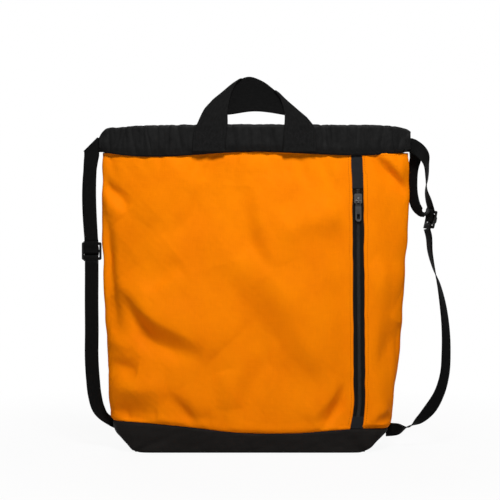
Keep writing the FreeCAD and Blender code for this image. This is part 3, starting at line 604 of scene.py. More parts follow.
def woven(name, dark, light, thread=0.62, relief=0.05, roughness=(0.5, 0.68), **values):
    """Plain woven cloth: crossing threads, thicker ones here and there, soft patches of wear."""
    material, tree, shader = surface(name, **values)
    cloth = add(tree, "TexCoord").outputs["UV"]
    weave = times(tree, bands(tree, cloth, thread, "X"), bands(tree, cloth, thread * 1.15, "Y"))
    slubs = noise(tree, cloth, (26.0, 1.1), Detail=4.0, Roughness=0.6)
    cross = noise(tree, cloth, (1.3, 18.0), Detail=3.0, Roughness=0.6)
    patches = noise(tree, cloth, (55.0, 70.0), Detail=5.0, Roughness=0.55)
    threads = plus(tree, slubs, cross)
    tone = plus(tree, times(tree, patches, 0.75), times(tree, threads, 0.35))
    tone = plus(tree, tone, times(tree, weave, 0.16))
    finish_surface(tree, shader, ramp(tree, tone, (0.30, dark), (1.0, light)), patches, roughness,
                   Height=plus(tree, weave, times(tree, threads, 0.8)), Distance=relief * MM, Strength=0.75)
    return material


def nylon(name, dark, light):
    """Thin ripstop nylon: a fine weave with a raised grid, crinkled, with a slight shine."""
    material, tree, shader = surface(name, Sheen_Weight=0.02, Sheen_Roughness=0.4, Specular_IOR_Level=0.06)
    cloth = add(tree, "TexCoord").outputs["UV"]
    weave = times(tree, bands(tree, cloth, 0.42, "X"), bands(tree, cloth, 0.42, "Y"))
    lines = maths(tree, "MAXIMUM", bands(tree, cloth, 5.0, "X"), bands(tree, cloth, 5.0, "Y"))
    lines = maths(tree, "POWER", lines, 24.0)
    crinkle = noise(tree, cloth, (9.0, 24.0), Detail=6.0, Roughness=0.6, Distortion=0.6)
    tone = plus(tree, crinkle, times(tree, weave, 0.12))
    grid = add(tree, "Bump", Height=plus(tree, weave, lines), Distance=0.04 * MM, Strength=0.7)
    finish_surface(tree, shader, ramp(tree, tone, (0.3, dark), (0.85, light)), crinkle, (0.42, 0.6),
                   Height=crinkle, Distance=1.1 * MM, Strength=0.55, Normal=grid.outputs["Normal"])
    return material


def ribbed(name, dark, light, rib, relief, **values):
    """Webbing: ribs across its width, split by lengthwise yarns, with fuzz that takes the light."""
    material, tree, shader = surface(name, **values)
    cloth = add(tree, "TexCoord").outputs["UV"]
    weave = plus(tree, bands(tree, cloth, rib, "Y"), times(tree, bands(tree, cloth, rib * 0.8, "X"), 0.45))
    fuzz = noise(tree, cloth, (2.2, 6.0), Detail=5.0, Roughness=0.65)
    tone = plus(tree, times(tree, weave, 0.3), times(tree, fuzz, 0.8))
    finish_surface(tree, shader, ramp(tree, tone, (0.3, dark), (0.9, light)), fuzz, (0.55, 0.8),
                   Height=plus(tree, weave, times(tree, fuzz, 0.5)), Distance=relief * MM, Strength=0.8)
    return material


def moulded(name, dark, light, grain, relief, roughness, **values):
    """Moulded or cast material with a fine grain, soft patches of wear, and a painted highlight that lightens
    its convex edges.
    """
    material, tree, shader = surface(name, **values)
    place = add(tree, "TexCoord").outputs["Object"]
    fine = noise(tree, place, (grain, grain, grain), Detail=4.0, Roughness=0.6)
    worn = noise(tree, place, (7.0, 7.0, 7.0), Detail=3.0)
    # Painted highlight: the colour is lighter where the surface is pointy, along convex edges.
    edge = add(tree, "MapRange", Value=add(tree, "NewGeometry").outputs["Pointiness"])
    set_inputs(edge, {"From Min": 0.5, "From Max": 0.62})
    tone = plus(tree, times(tree, edge.outputs["Result"], 0.6), times(tree, worn, 0.5))
    finish_surface(tree, shader, ramp(tree, tone, (0.15, dark), (0.9, light)), fine, roughness,
                   Height=fine, Distance=relief * MM, Strength=0.6)
    return material


ORANGE = woven("orange_polyester", (0.800, 0.160, 0.0006), (0.960, 0.245, 0.0008), Specular_IOR_Level=0.015)
ORANGE_INSIDE = woven("orange_coated_inside", (0.60, 0.115, 0.002), (0.74, 0.18, 0.004), relief=0.02,
                      roughness=(0.4, 0.55), Specular_IOR_Level=0.10)
BASE_CLOTH = woven("black_polyester", (0.0052, 0.0046, 0.0043), (0.0155, 0.0140, 0.0132), thread=0.85,
                   relief=0.09, Specular_IOR_Level=0.03)
ZIP_PATCH = woven("black_zip_patch", (0.0085, 0.0090, 0.0100), (0.0190, 0.0200, 0.0220), thread=0.8,
                  relief=0.06, Specular_IOR_Level=0.03)
CASING_CLOTH = nylon("black_nylon", grey(0.0034), grey(0.0125))
LINING = woven("lining", grey(0.020), grey(0.038), relief=0.02, Specular_IOR_Level=0.05)
STRAP_WEB = ribbed("strap_webbing", grey(0.0022), grey(0.0075), rib=1.25, relief=0.10,
                   Specular_IOR_Level=0.02)
HANDLE_WEB = ribbed("handle_webbing", grey(0.0026), grey(0.0150), rib=1.5, relief=0.12,
                    Specular_IOR_Level=0.02)
# The crown's webbing is the handle webbing above in darker colours: painted shade, for the crown lying in
# shadow behind the legs.
CROWN_WEB_PAINTED_SHADE = ribbed("handle_crown_webbing_painted_shade", grey(0.0016), grey(0.0080), rib=1.5, relief=0.12,
                   Specular_IOR_Level=0.02)
TAPE_WEB = ribbed("zip_tape", grey(0.0045), grey(0.0100), rib=0.7, relief=0.05, Specular_IOR_Level=0.03)
COIL_NYLON = moulded("zip_coil", grey(0.0045), grey(0.0120), 0.8, 0.02, (0.32, 0.45), Specular_IOR_Level=0.20)
METAL = moulded("zip_metal", grey(0.014), grey(0.085), 0.5, 0.02, (0.22, 0.40), Metallic=1.0)
PLASTIC = moulded("buckle_plastic", grey(0.0022), grey(0.0130), 0.45, 0.03, (0.36, 0.50),
                  Specular_IOR_Level=0.14)
ORANGE_THREAD = moulded("orange_thread", (0.24, 0.045, 0.001), (0.42, 0.09, 0.002), 0.3, 0.04, (0.5, 0.65),
                        Specular_IOR_Level=0.05)
BLACK_THREAD = moulded("black_thread", grey(0.006), grey(0.020), 0.3, 0.04, (0.5, 0.65),
                       Specular_IOR_Level=0.10)


# ---------------------------------------------------------------- panels
SHEET_ROWS = 186
ZIP_CALM = 0.22              # share of the relief that is left at the edges beside the zip


def outward(grid, side):
    """Unit normals of a grid of points, away from the inside of the bag."""
    normal = np.cross(np.gradient(grid, axis=1), np.gradient(grid, axis=0))
    normal = unit(normal)
    return normal * np.where(normal[..., 1:2] * side < 0, -1.0, 1.0)


def panel_grid(side, columns, x0=None, x1=None):
    """Points of a panel between its side seams, or to an edge given as a function of height."""
    share = np.linspace(0.0, 1.0, columns)[None, :]
    up = np.linspace(0.0, 1.0, SHEET_ROWS)[:, None]
    z = mix(BASE_TOP, PANEL_TOP, up) + 0.0 * share
    for _ in range(3):
        start = 0.0 if x0 is None else angle_at(x0(z), z)
        stop = math.pi if x1 is None else angle_at(x1(z), z)
        psi = mix(start, stop, share)
        x = body_point(psi, z, side)[..., 0]
        z = mix(seam_height(x[:1], side), casing_seam(x[-1:]), up)
    return body_point(psi, z, side)


def side_taper(grid, x0, x1):
    """0 at the side seams and at the edges beside the zip, 1 elsewhere."""
    lengths = flat_of(grid)[..., 0]
    total = lengths[:, -1:]
    left = ease(lengths / (14.0 if x0 is None else 5.0))
    right = ease((total - lengths) / (14.0 if x1 is None else 5.0))
    return left * right


def deepest(x, z):
    """How far the front may sink without meeting the zip tapes or the pocket behind it."""
    from_tape = np.abs(x - zip_centre(z)) - TAPE_WIDTH
    from_pocket = np.maximum(low("pocket_bag", X) - x, x - high("pocket_bag", X))
    return -0.8 - 5.0 * ease((from_tape - 1.0) / 12.0) - 6.0 * ease((from_pocket - 1.0) / 12.0)


def make_panel(name, side, columns, x0=None, x1=None):
    """One panel and its grid, with folds, seams and a coated inside."""
    grid = panel_grid(side, columns, x0, x1)
    x, z = grid[..., 0], grid[..., 2]
    from_zip = np.abs(x - ZIP_X) if side < 0 else np.full(x.shape, 1e3)
    calm = mix(ZIP_CALM, 1.0, ease((from_zip - ZIP_OPENING / 2) / 26.0))
    relief = fabric_relief(x, z, side) * side_taper(grid, x0, x1) * calm
    if side < 0:
        relief = np.maximum(relief, deepest(x, z))
    under, over = casing_seam(x) - z, z - seam_height(x, side)
    relief *= ease((under + 1.5) / 5.0) * ease((over + 1.0) / 7.0)
    relief += seam_groove(over, 1.3, 2.4) + seam_groove(under - STITCH_UNDER_CASING, 0.35, 1.6)
    relief += seam_groove(from_zip - ZIP_OPENING / 2 - STITCH_BESIDE_ZIP, 0.3, 1.6)
    relief += 0.9 * np.exp(-((over - 6.0) / 5.0) ** 2)
    grid = grid + outward(grid, side) * relief[..., None]
    obj = grid_object(name, grid, flat_of(grid), flip=side > 0)
    thicken(obj, FABRIC, inner=True)
    return dress(obj, "orange_polyester", ORANGE, ORANGE_INSIDE), grid


def zip_edge(side):
    """Edge of the fabric beside the zip, slightly uneven where it is stitched down."""
    def edge(z):
        wave = 0.35 * ripple(0.0 * z, z, 30.0, 40 + side)
        return zip_centre(z) + side * (ZIP_OPENING / 2 - 0.3 + wave)
    return edge


def make_panels():
    """The three orange panels. Returns their grids, for the stitches."""
    main, main_grid = make_panel("front_main_shell", -1, 190, x1=zip_edge(-1))
    side, side_grid = make_panel("front_side_shell", -1, 46, x0=zip_edge(1))
    back, back_grid = make_panel("back_shell", 1, 224)
    for obj, node in ((main, "front_main_panel"), (side, "front_side_panel"), (back, "back_panel")):
        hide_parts(node)
        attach(obj, "bag")
    return main_grid, side_grid, back_grid


# ---------------------------------------------------------------- base
def make_base():
    """Boxed base: a wall round the bag, sagging a little between its corners, and a bottom."""
    rows, columns = 22, 150
    sheets = []
    up = np.linspace(0.0, 1.0, rows)[:, None]
    for side in (-1, 1):
        psi = np.array([even_angles(height, columns) for height in mix(0.0, BASE_TOP, up ** 0.9)[:, 0]])
        z = mix(0.0, BASE_TOP, up) + 0.0 * psi
        for _ in range(3):
            grid = body_point(psi, z, side)
            z = mix(0.0, seam_height(grid[-1:, :, 0], side), up ** 0.9)
        grid = body_point(psi, z, side)
        x = grid[..., 0]
        along = flat_of(grid)[..., 0]
        ends = ease(along / 20.0) * ease((along[:, -1:] - along) / 20.0)
        middle = ease(up / 0.25) * ease((1.0 - up) / 0.12)
        relief = (0.8 * ripple(x, z, 44.0, 50 + side) + 0.25 * ripple(x, z, 15.0, 52 + side)) * middle * ends
        for fold in random_base_folds(54 + side):
            relief += fold_field(x, z, fold, True) * ends
        relief += seam_groove((1.0 - up) * BASE_TOP, 1.3, 2.0) + 0.0 * x
        relief -= 0.8 * np.exp(-(z / 1.6) ** 2)
        sheets.append(grid + outward(grid, side) * relief[..., None])
    ring = np.concatenate([sheets[0], sheets[1][:, ::-1][:, 1:-1]], axis=1)
    closed = np.concatenate([ring, ring[:, :1]], axis=1)
    wall = grid_object("base_wall", ring, flat_of(closed), closed=True)
    thicken(wall, FABRIC + 0.3)
    dress(wall, "black_polyester", BASE_CLOTH)
    sunk = mix(1.0, 0.0, np.linspace(0.0, 0.999, 26))[:, None, None]
    centre = ring[0].mean(axis=0)
    disc = centre + (ring[0] - centre)[None] * sunk
    disc[..., 2] = 0.7 + 0.5 * (1.0 - sunk[..., 0]) * (ripple(disc[..., 0], disc[..., 1], 50.0, 60) + 1.0)
    flat = np.concatenate([disc, disc[:, :1]], axis=1)[..., :2]
    bottom = grid_object("base_bottom", disc, flat, closed=True, flip=True)
    thicken(bottom, 1.3)
    dress(bottom, "black_polyester", BASE_CLOTH)
    base = joined("base_shell", [wall, bottom])
    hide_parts("base_panel")
    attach(base, "bag")
    return sheets


def random_base_folds(seed):
    """Creases that rise from the base's lower corners."""
    pick = random.Random(seed)
    folds = []
    for side in (-1, 1):
        for reach in (26.0, 44.0, 66.0):
            x = side * (BASE_WIDTH / 2 - 4.0)
            rise = pick.uniform(10.0, 30.0)
            points = [(x, 1.0), (x - side * reach * 0.5, rise * 0.6), (x - side * reach, rise)]
            folds.append(Fold(-pick.uniform(0.6, 1.3), 4.0, 6.0, points))
    return folds


# ---------------------------------------------------------------- casings
CASING_THICKNESS = 9.0
CASING_END_THICKNESS = 7.0
CASING_END_GAP = 1.0
# Along a casing: how far its top lies below the highest point, and how far its floor has risen
CASING_FALL = [(0.0, 17.0), (0.008, 11.0), (0.02, 6.0), (0.035, 3.4), (0.05, 3.6), (0.10, 2.0), (0.20, 0.8),
               (0.35, 0.0), (0.50, 0.0), (0.65, 0.0), (0.80, 0.5), (0.90, 0.8), (0.94, 1.6), (0.97, 3.4),
               (0.99, 6.0), (1.0, 9.0)]
CASING_RISE = [(0.0, 5.0), (0.012, 1.6), (0.03, 0.0), (0.5, 0.0), (0.955, 0.0), (0.98, 1.6), (1.0, 5.5)]


def casing_middle(x):
    """Distance of a casing's middle from the middle plane, and half its thickness."""
    share = np.abs(x - mix(CASING_LEFT, CASING_RIGHT, 0.5)) / (CASING_RIGHT - CASING_LEFT) * 2.0
    half = mix(CASING_THICKNESS, CASING_END_THICKNESS, np.clip(share, 0, 1) ** 3) / 2.0
    over_panel = plan_depth(x, PANEL_TOP) - FABRIC / 2.0
    least = half + CASING_END_GAP / 2.0
    return np.hypot(np.maximum(over_panel, 0.0), least), half


def gathers(x, z, seed):
    """How far the drawn-up fabric of a casing sinks between its pleats, which meet in narrow Vs."""
    pick = random.Random(seed)
    sunk = np.zeros(x.shape)
    at = CASING_LEFT + 3.0
    height = (z - PANEL_TOP) / (CASING_TOP - PANEL_TOP)
    while at < CASING_RIGHT:
        depth = pick.choice((0.4, 0.8, 1.2, 1.7))
        width = pick.uniform(1.3, 3.0)
        lean = pick.uniform(-9.0, 9.0)
        top, bottom = pick.uniform(0.6, 1.3), pick.uniform(-0.35, 0.3)
        away = (x - at - lean * (height - 0.1)) / (width * (0.75 + 0.5 * height))
        reach = ease((height - bottom + 0.25) / 0.3) * ease((top - height + 0.3) / 0.5)
        sunk += depth * np.exp(-away ** 2) * reach
        at += pick.uniform(4.5, 12.5)
    sunk += 0.35 * (1.0 + ripple(x, 0.35 * z, 26.0, seed + 1)) + 0.14 * (1.0 + ripple(x, z, 7.0, seed + 2))
    return np.minimum(sunk, 2.1)


def make_casing(name, side):
    """One tunnel of gathered fabric, open at both ends."""
    stations = 330
    x = np.linspace(CASING_LEFT, CASING_RIGHT, stations)
    middle, half = casing_middle(x)
    fall, rise = [smooth(*zip(*points), (x - CASING_LEFT) / (CASING_RIGHT - CASING_LEFT))
                  for points in (CASING_FALL, CASING_RISE)]
    floor, top = casing_seam(x) + 0.2 + rise, CASING_TOP - fall
    # round the section: floor, outer wall, half-round top, inner wall; as (across, height above the shoulder)
    wall = np.linspace(0.0, 1.0, 15)
    arc = np.linspace(0.0, math.pi, 13)[1:-1]
    grid = []
    for place in np.linspace(0.0, 1.0, 5)[:-1]:
        grid.append((mix(-1.0, 1.0, place), 0.0, 0.0))
    for place in wall:
        grid.append((1.0, place, 0.0))
    for angle in arc:
        grid.append((math.cos(angle), 1.0, math.sin(angle)))
    for place in wall[::-1][:-1]:
        grid.append((-1.0, place, 0.0))
    points = np.zeros((stations, len(grid), 3))
    for column, (across, climb, crown) in enumerate(grid):
        shoulder = top - half
        points[:, column, 0] = x
        foot = mix(0.40, 1.0, float(ease((climb + crown) / 0.25)))
        points[:, column, 1] = side * (middle + across * half * foot)
        points[:, column, 2] = mix(floor, shoulder, climb) + crown * half
    xs, zs = points[..., 0], points[..., 2]
    outer = np.array([across for across, _, _ in grid])[None, :]
    sunk = mix(gathers(xs, zs, 72 + side), gathers(xs, zs, 70 + side), ease(outer * 0.5 + 0.5))
    near_floor = ease((zs - floor[:, None]) / 5.0)
    sunk = sunk * mix(0.55, 1.0, near_floor) * mix(0.8, 1.0, np.abs(outer))
    crowns = np.array([crown for _, _, crown in grid])[None, :]
    inward = np.stack([0.0 * xs, -side * outer + 0.0 * xs, -crowns + 0.0 * xs], axis=-1)
    points = points + inward * sunk[..., None]
    puff = ease((np.abs(xs - 6.0) - 190.0) / 14.0) * 0.8 * ripple(xs, zs, 13.0, 75 + side)
    points[..., 1] += side * outer * puff * 0.6
    closed = np.concatenate([points, points[:, :1]], axis=1)
    flat = flat_of(closed)[..., ::-1]
    obj = grid_object(name, points, flat, closed=True, flip=side > 0)
    thicken(obj, CASING_FABRIC)
    dress(obj, "black_nylon", CASING_CLOTH)
    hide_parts(name.replace("_cloth", ""))
    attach(obj, "bag")


# ---------------------------------------------------------------- stitches
STITCH_PITCH = 3.1
STITCH_LENGTH = 2.3
STITCH_SUNK = 0.12
THREAD_THICKNESS = 0.55
THREAD_SIDES = 6


def stitch_row(points, normals):
    """Thread along a line: small bars, slightly sunk in the cloth. Returns points and faces."""
    points, normals = np.asarray(points, float), np.asarray(normals, float)
    lengths = lengths_along(points)
    count = max(1, int(lengths[-1] / STITCH_PITCH))
    at = (np.arange(count) + 0.5) * lengths[-1] / count
    spot = np.stack([np.interp(at, lengths, column) for column in points.T], axis=1)
    out = unit(np.stack([np.interp(at, lengths, column) for column in normals.T], axis=1))
    ahead = np.stack([np.interp(at + 0.5, lengths, column) for column in points.T], axis=1)
    behind = np.stack([np.interp(at - 0.5, lengths, column) for column in points.T], axis=1)
    along = unit(ahead - behind)
    across = unit(np.cross(along, out))
    spot = spot - out * STITCH_SUNK
    verts, faces = [], []
    for place, forward, sideways, up in zip(spot, along, across, out):
        first = len(verts)
        verts.append(place - forward * STITCH_LENGTH / 2)
        for where in (-0.32, 0.32):
            for corner in range(THREAD_SIDES):
                angle = math.tau * corner / THREAD_SIDES
                rim = sideways * math.cos(angle) + up * math.sin(angle)
                verts.append(place + forward * STITCH_LENGTH * where + rim * THREAD_THICKNESS / 2)
        verts.append(place + forward * STITCH_LENGTH / 2)
        last = first + 2 * THREAD_SIDES + 1
        for corner in range(THREAD_SIDES):
            a = first + 1 + corner
            b = first + 1 + (corner + 1) % THREAD_SIDES
            faces.append((first, b, a))
            faces.append((a, b, b + THREAD_SIDES, a + THREAD_SIDES))
            faces.append((a + THREAD_SIDES, b + THREAD_SIDES, last))
    return verts, faces


def make_stitches(name, rows, material, slot):
    """All of the rows of one seam as one piece."""
    verts, faces = [], []
    for row in rows:
        more, quads = stitch_row(*row)
        faces += [tuple(index + len(verts) for index in quad) for quad in quads]
        verts += more
    obj = new_object(name, verts, faces)
    dress(obj, slot, material)
    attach(obj, "bag")


def row_at(grid, side, distance):
    """Line that far below the top of a panel's grid, and its normals."""
    normal = outward(grid, side)
    drop = grid[-1, :, 2] - distance
    columns = np.arange(grid.shape[1])
    index = np.array([np.searchsorted(grid[:, column, 2], drop[column]) for column in columns])
    index = np.clip(index, 1, grid.shape[0] - 1)
    return grid[index, columns][2:-2], normal[index, columns][2:-2]


def column_at(grid, side, distance, from_left):
    """Line that far inside the left or right edge of a panel's grid, and its normals."""
    normal = outward(grid, side)
    lengths = flat_of(grid)[..., 0]
    if not from_left:
        lengths = lengths[:, -1:] - lengths
    index = np.array([int(np.argmin(np.abs(row - distance))) for row in lengths])
    rows = np.arange(grid.shape[0])
    return grid[rows, index][3:-3], normal[rows, index][3:-3]


# ---------------------------------------------------------------- webbing
def web_section(width, thickness):
    """Section of webbing with rounded selvedges, as (across, deep) pairs."""
    a, b = width / 2, thickness / 2
    half = [(-a, 0.0), (-a + 0.14, -b * 0.62), (-a + 0.55, -b), (-a * 0.4, -b), (a * 0.4, -b), (a - 0.55, -b),
            (a - 0.14, -b * 0.62)]
    return half + [(-across, -deep) for across, deep in half]


def make_web(name, places, across, width=STRAP_WIDTH):
    """Webbing along points, with the direction across it at each."""
    places, across = np.asarray(places, float), unit(across)
    along = unit(np.gradient(places, axis=0))
    through_it = unit(np.cross(along, across))
    across = unit(np.cross(through_it, along))
    section = web_section(width, STRAP_THICKNESS)
    section.append(section[0])
    grid = np.zeros((len(places), len(section) - 1, 3))
    flat = np.zeros((len(places), len(section), 2))
    lengths = lengths_along(places)
    for column, (w, t) in enumerate(section):
        if column < len(section) - 1:
            grid[:, column] = places + across * w + through_it * t
        flat[:, column, 0] = w
        flat[:, column, 1] = lengths
    obj = grid_object(name, grid, flat, closed=True, caps=True)
    obj.data.materials.append(STRAP_WEB)
    return obj


def web_through(stations, spacing=2.5):
    """Smooth places and across directions from a few (x, y, z, across) stations."""
    rows = np.array([list(row[:3]) + list(row[3]) for row in stations], float)
    rows[:, 3:] = unit(rows[:, 3:])
    chord = lengths_along(rows[:, :3])
    at = np.linspace(0.0, chord[-1], max(8, int(chord[-1] / spacing)))
    dense = np.stack([smooth(chord, column, at) for column in rows.T], axis=1)
    return dense[:, :3], unit(dense[:, 3:])


STRAP_MIDDLE = PANEL_TOP + CASING_FABRIC + 0.5 + 10.0
STRAP_OFFSET = 1.1
STRAP_STOP = 8.0
LAYER_GAP = 0.1
LEFT_FOLD_X = CASING_LEFT - 1.5
BUCKLE_LENGTH = 24.5
BUCKLE_THICKNESS = 2.6
BUCKLE_RAIL = 4.0
WEAVE_REACH = 13.5
CLEAR = 0.3
RUN_Y = -(BUCKLE_THICKNESS / 2 + CLEAR + STRAP_THICKNESS / 2)
LOOP_Y = RUN_Y - STRAP_THICKNESS - 0.4
WRAP = BUCKLE_RAIL / 2 + CLEAR + STRAP_THICKNESS / 2
REAR_Y = -RUN_Y
CROSS_Y = REAR_Y + STRAP_THICKNESS + CLEAR
LEFT_SLIDER = (Vector((-217.0, 0.0, 268.0)), 0.0, 0.0)
RIGHT_SLIDER = (Vector((247.5, 0.0, 311.5)), -70.0, 12.0)


def slider_matrix(slider):
    """Turn about the slider's own length, then lean to the right."""
    place, turn, lean = slider
    turned = Matrix.Rotation(math.radians(lean), 4, "Y") @ Matrix.Rotation(math.radians(turn), 4, "Z")
    return Matrix.Translation(place) @ turned


def channel_line(x0, x1, side, offset):
    """Stations of a strap inside a casing."""
    rows = []
    for x in np.linspace(x0, x1, 30):
        rows.append((x, side * (casing_middle(x)[0] + offset), STRAP_MIDDLE, (0, 0, 1)))
    return rows


def left_strand(side, end_y, bulge):
    """Left strap from inside a casing, folded down over a diagonal, to its slider."""
    place = LEFT_SLIDER[0]
    exit_y = side * (casing_middle(CASING_LEFT)[0] + STRAP_OFFSET)
    layer = side * (STRAP_THICKNESS + LAYER_GAP)
    start_x = CASING_RIGHT - STRAP_STOP
    bottom = place.z + WEAVE_REACH
    shares = np.linspace(-1.0, 1.0, 9)
    rows = []
    for share in shares:
        across = share * STRAP_WIDTH / 2
        fold_x = LEFT_FOLD_X - STRAP_WIDTH / 2 + across
        z = STRAP_MIDDLE + across
        line = []
        for x in np.linspace(start_x, CASING_LEFT - 0.2, 60):
            line.append((x, side * (casing_middle(x)[0] + STRAP_OFFSET), z))
        for x in np.linspace(CASING_LEFT - 0.6, fold_x + 0.5, 6):
            line.append((x, exit_y, z))
        for angle in np.linspace(0.15, math.pi - 0.15, 6):
            swing = (1.0 - math.cos(angle)) / 2
            reach = 0.55 * math.sin(angle)
            line.append((fold_x - reach, exit_y + layer * swing, z + reach - 0.8 * swing))
        for step in range(1, 45):
            down = step / 44
            height = mix(z - 1.0, bottom, down)
            strand = ease((STRAP_MIDDLE - height) / (STRAP_MIDDLE - bottom))
            bow = math.sin(math.pi * float(np.clip((398.0 - height) / (398.0 - bottom), 0.0, 1.0)) ** 0.8)
            centre = mix(fold_x - across, place.x, strand) + bulge * bow
            y = mix(exit_y + layer, end_y, strand) + 0.5 * bow * side
            line.append((centre + across * (1.0 - 0.05 * bow), y, height))
        rows.append(line)
    return np.array(rows).transpose(1, 0, 2)


def web_sheet(name, grid):
    """Webbing from a grid of its middle layer."""
    flat = np.zeros(grid.shape[:2] + (2,))
    middle = grid[:, grid.shape[1] // 2]
    flat[..., 1] = lengths_along(middle)[:, None]
    flat[..., 0] = np.linspace(-STRAP_WIDTH / 2, STRAP_WIDTH / 2, grid.shape[1])[None, :]
    obj = grid_object(name, grid, flat)
    thicken(obj, STRAP_THICKNESS, offset=0.0)
    obj.data.materials.append(STRAP_WEB)
    return settle(obj)


def finish_strand(obj, slider_body, top, bottom, *nodes):
    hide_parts(*nodes)
    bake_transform(obj)


def weave_rows(path, slider):
    """Stations of webbing in a slider, from (y, z) points in the slider's own frame."""
    matrix = slider_matrix(slider)
    sideways = matrix.to_3x3() @ Vector((1, 0, 0))
    return [(*(matrix @ Vector((-0.5, y, z))), tuple(sideways)) for y, z in path]


def make_weaves(word, slider):
    """The adjusting strand through a slider, and the sewn end round its middle bar."""
    slot = BUCKLE_LENGTH / 2 - BUCKLE_RAIL
    half = [(RUN_Y, WEAVE_REACH), (RUN_Y, slot + 2.4), (RUN_Y, slot + 0.7), (RUN_Y + 0.4, slot - 0.9),
            (RUN_Y + 1.7, slot - 2.1), (RUN_Y + 3.9, slot - 3.1), (CROSS_Y - 0.2, slot - 5.0)]
    running = half + [(CROSS_Y, 0.0)] + [(y, -z) for y, z in reversed(half)]
    rise, side = WRAP + 0.1, REAR_Y - 0.5
    looped = [(LOOP_Y, WEAVE_REACH), (LOOP_Y, slot + 2.0), (LOOP_Y + 0.5, slot - 1.0),
              (LOOP_Y + 1.4, slot - 4.2),
              (RUN_Y, 0.5), (RUN_Y + 0.05, -1.7), (-side, -rise + 0.5), (-side + 0.9, -rise), (0.0, -rise),
              (side - 0.9, -rise), (side, -rise + 0.5), (REAR_Y, -1.7), (REAR_Y, 1.7), (side, rise - 0.5),
              (side - 0.9, rise), (0.1, rise + 0.05)]
    for path, node in ((running, word + "_strap_woven"), (looped, word + "_strap_sewn_loop")):
        places, across = web_through(weave_rows(path, slider), 0.5)
        obj = make_web(node + "_web", places, across, width=WOVEN_WIDTH)
        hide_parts(node)
        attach(obj, word + "_slider")


def make_left_strap():
    place = LEFT_SLIDER[0]
    for side, word, end_y, bulge in ((-1, "front", LOOP_Y, -2.2), (1, "back", RUN_Y, -4.6)):
        obj = web_sheet("left_strap_" + word, left_strand(side, end_y, bulge))
        nodes = ["left_strap_exit_" + word, "left_strap_upper_" + word]
        if side < 0:
            nodes.append("left_strap_channel")
        finish_strand(obj, "left_slider", (place.x, 0, 392.0), (place.x, 0, place.z + WEAVE_REACH), *nodes)
    make_weaves("left", LEFT_SLIDER)
    shift = 0.3
    rows = [(place.x + shift, RUN_Y, place.z - WEAVE_REACH, (1, 0, 0)),
            (place.x + shift, RUN_Y * 0.9, 236.0, (1, 0, 0)),
            (place.x + shift - 0.2, RUN_Y * 0.7, 200.0, (1, 0, 0)),
            (place.x + shift, RUN_Y * 0.5, 160.0, (1, 0.02, 0)),
            (place.x + 0.2, RUN_Y * 0.3, 118.0, (1, 0.06, 0)),
            (place.x + 1.8, 0, 92.0, (1, 0.12, 0.05)),
            (place.x + 4.4, 0, 70.0, (1, 0.32, 0.16)),
            (place.x + 9.5, 0, 52.0, (0.85, 0.6, 0.35)),
            (place.x + 18.0, 0, 40.5, (0.35, 0.9, 0.45)),
            (place.x + 28.0, 0, 35.0, (-0.1, 0.75, 0.65)),
            (place.x + 38.0, 0, 33.5, (0, 0.2, 0.95))]
    places, across = web_through(rows)
    lower = make_web("left_strap_low", places, across)
    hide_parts("left_strap_lower", "left_strap_anchor")
    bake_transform(lower)


def right_rows(side):
    y = float(casing_middle(CASING_RIGHT)[0]) - STRAP_OFFSET
    rows = channel_line(CASING_LEFT + STRAP_STOP, CASING_RIGHT - 4.0, side, -STRAP_OFFSET)
    rows.append((CASING_RIGHT, side * y, STRAP_MIDDLE, (0, 0, 1)))
    if side < 0:
        return rows + [(227.5, -4.0, 409.0, (0.45, 0, 0.9)), (235.5, -6.0, 401.0, (0.75, 0.3, 0.55)),
                       (240.5, -7.5, 386.0, (0.5, 0.85, 0.1)), (241.5, -6.5, 368.0, (0.3, 0.95, 0)),
                       (241.0, -4.5, 351.5, (0.02, 1, 0)), (244.3, -2.5, 338.0, (-0.25, 0.96, 0))]
    return rows + [(226.5, 4.5, 410.5, (0.3, -0.15, 0.93)), (228.5, 9.5, 399.0, (0.72, -0.62, 0.3)),
                   (224.8, 12.5, 380.0, (0.70, -0.71, 0)), (223.9, 12.5, 362.0, (0.66, -0.75, 0)),
                   (225.3, 11.5, 343.0, (0.62, -0.78, 0.08)), (230.5, 8.5, 327.0, (0.52, -0.82, 0.22)),
                   (239.0, 4.0, 319.5, (0.38, -0.92, 0.1))]


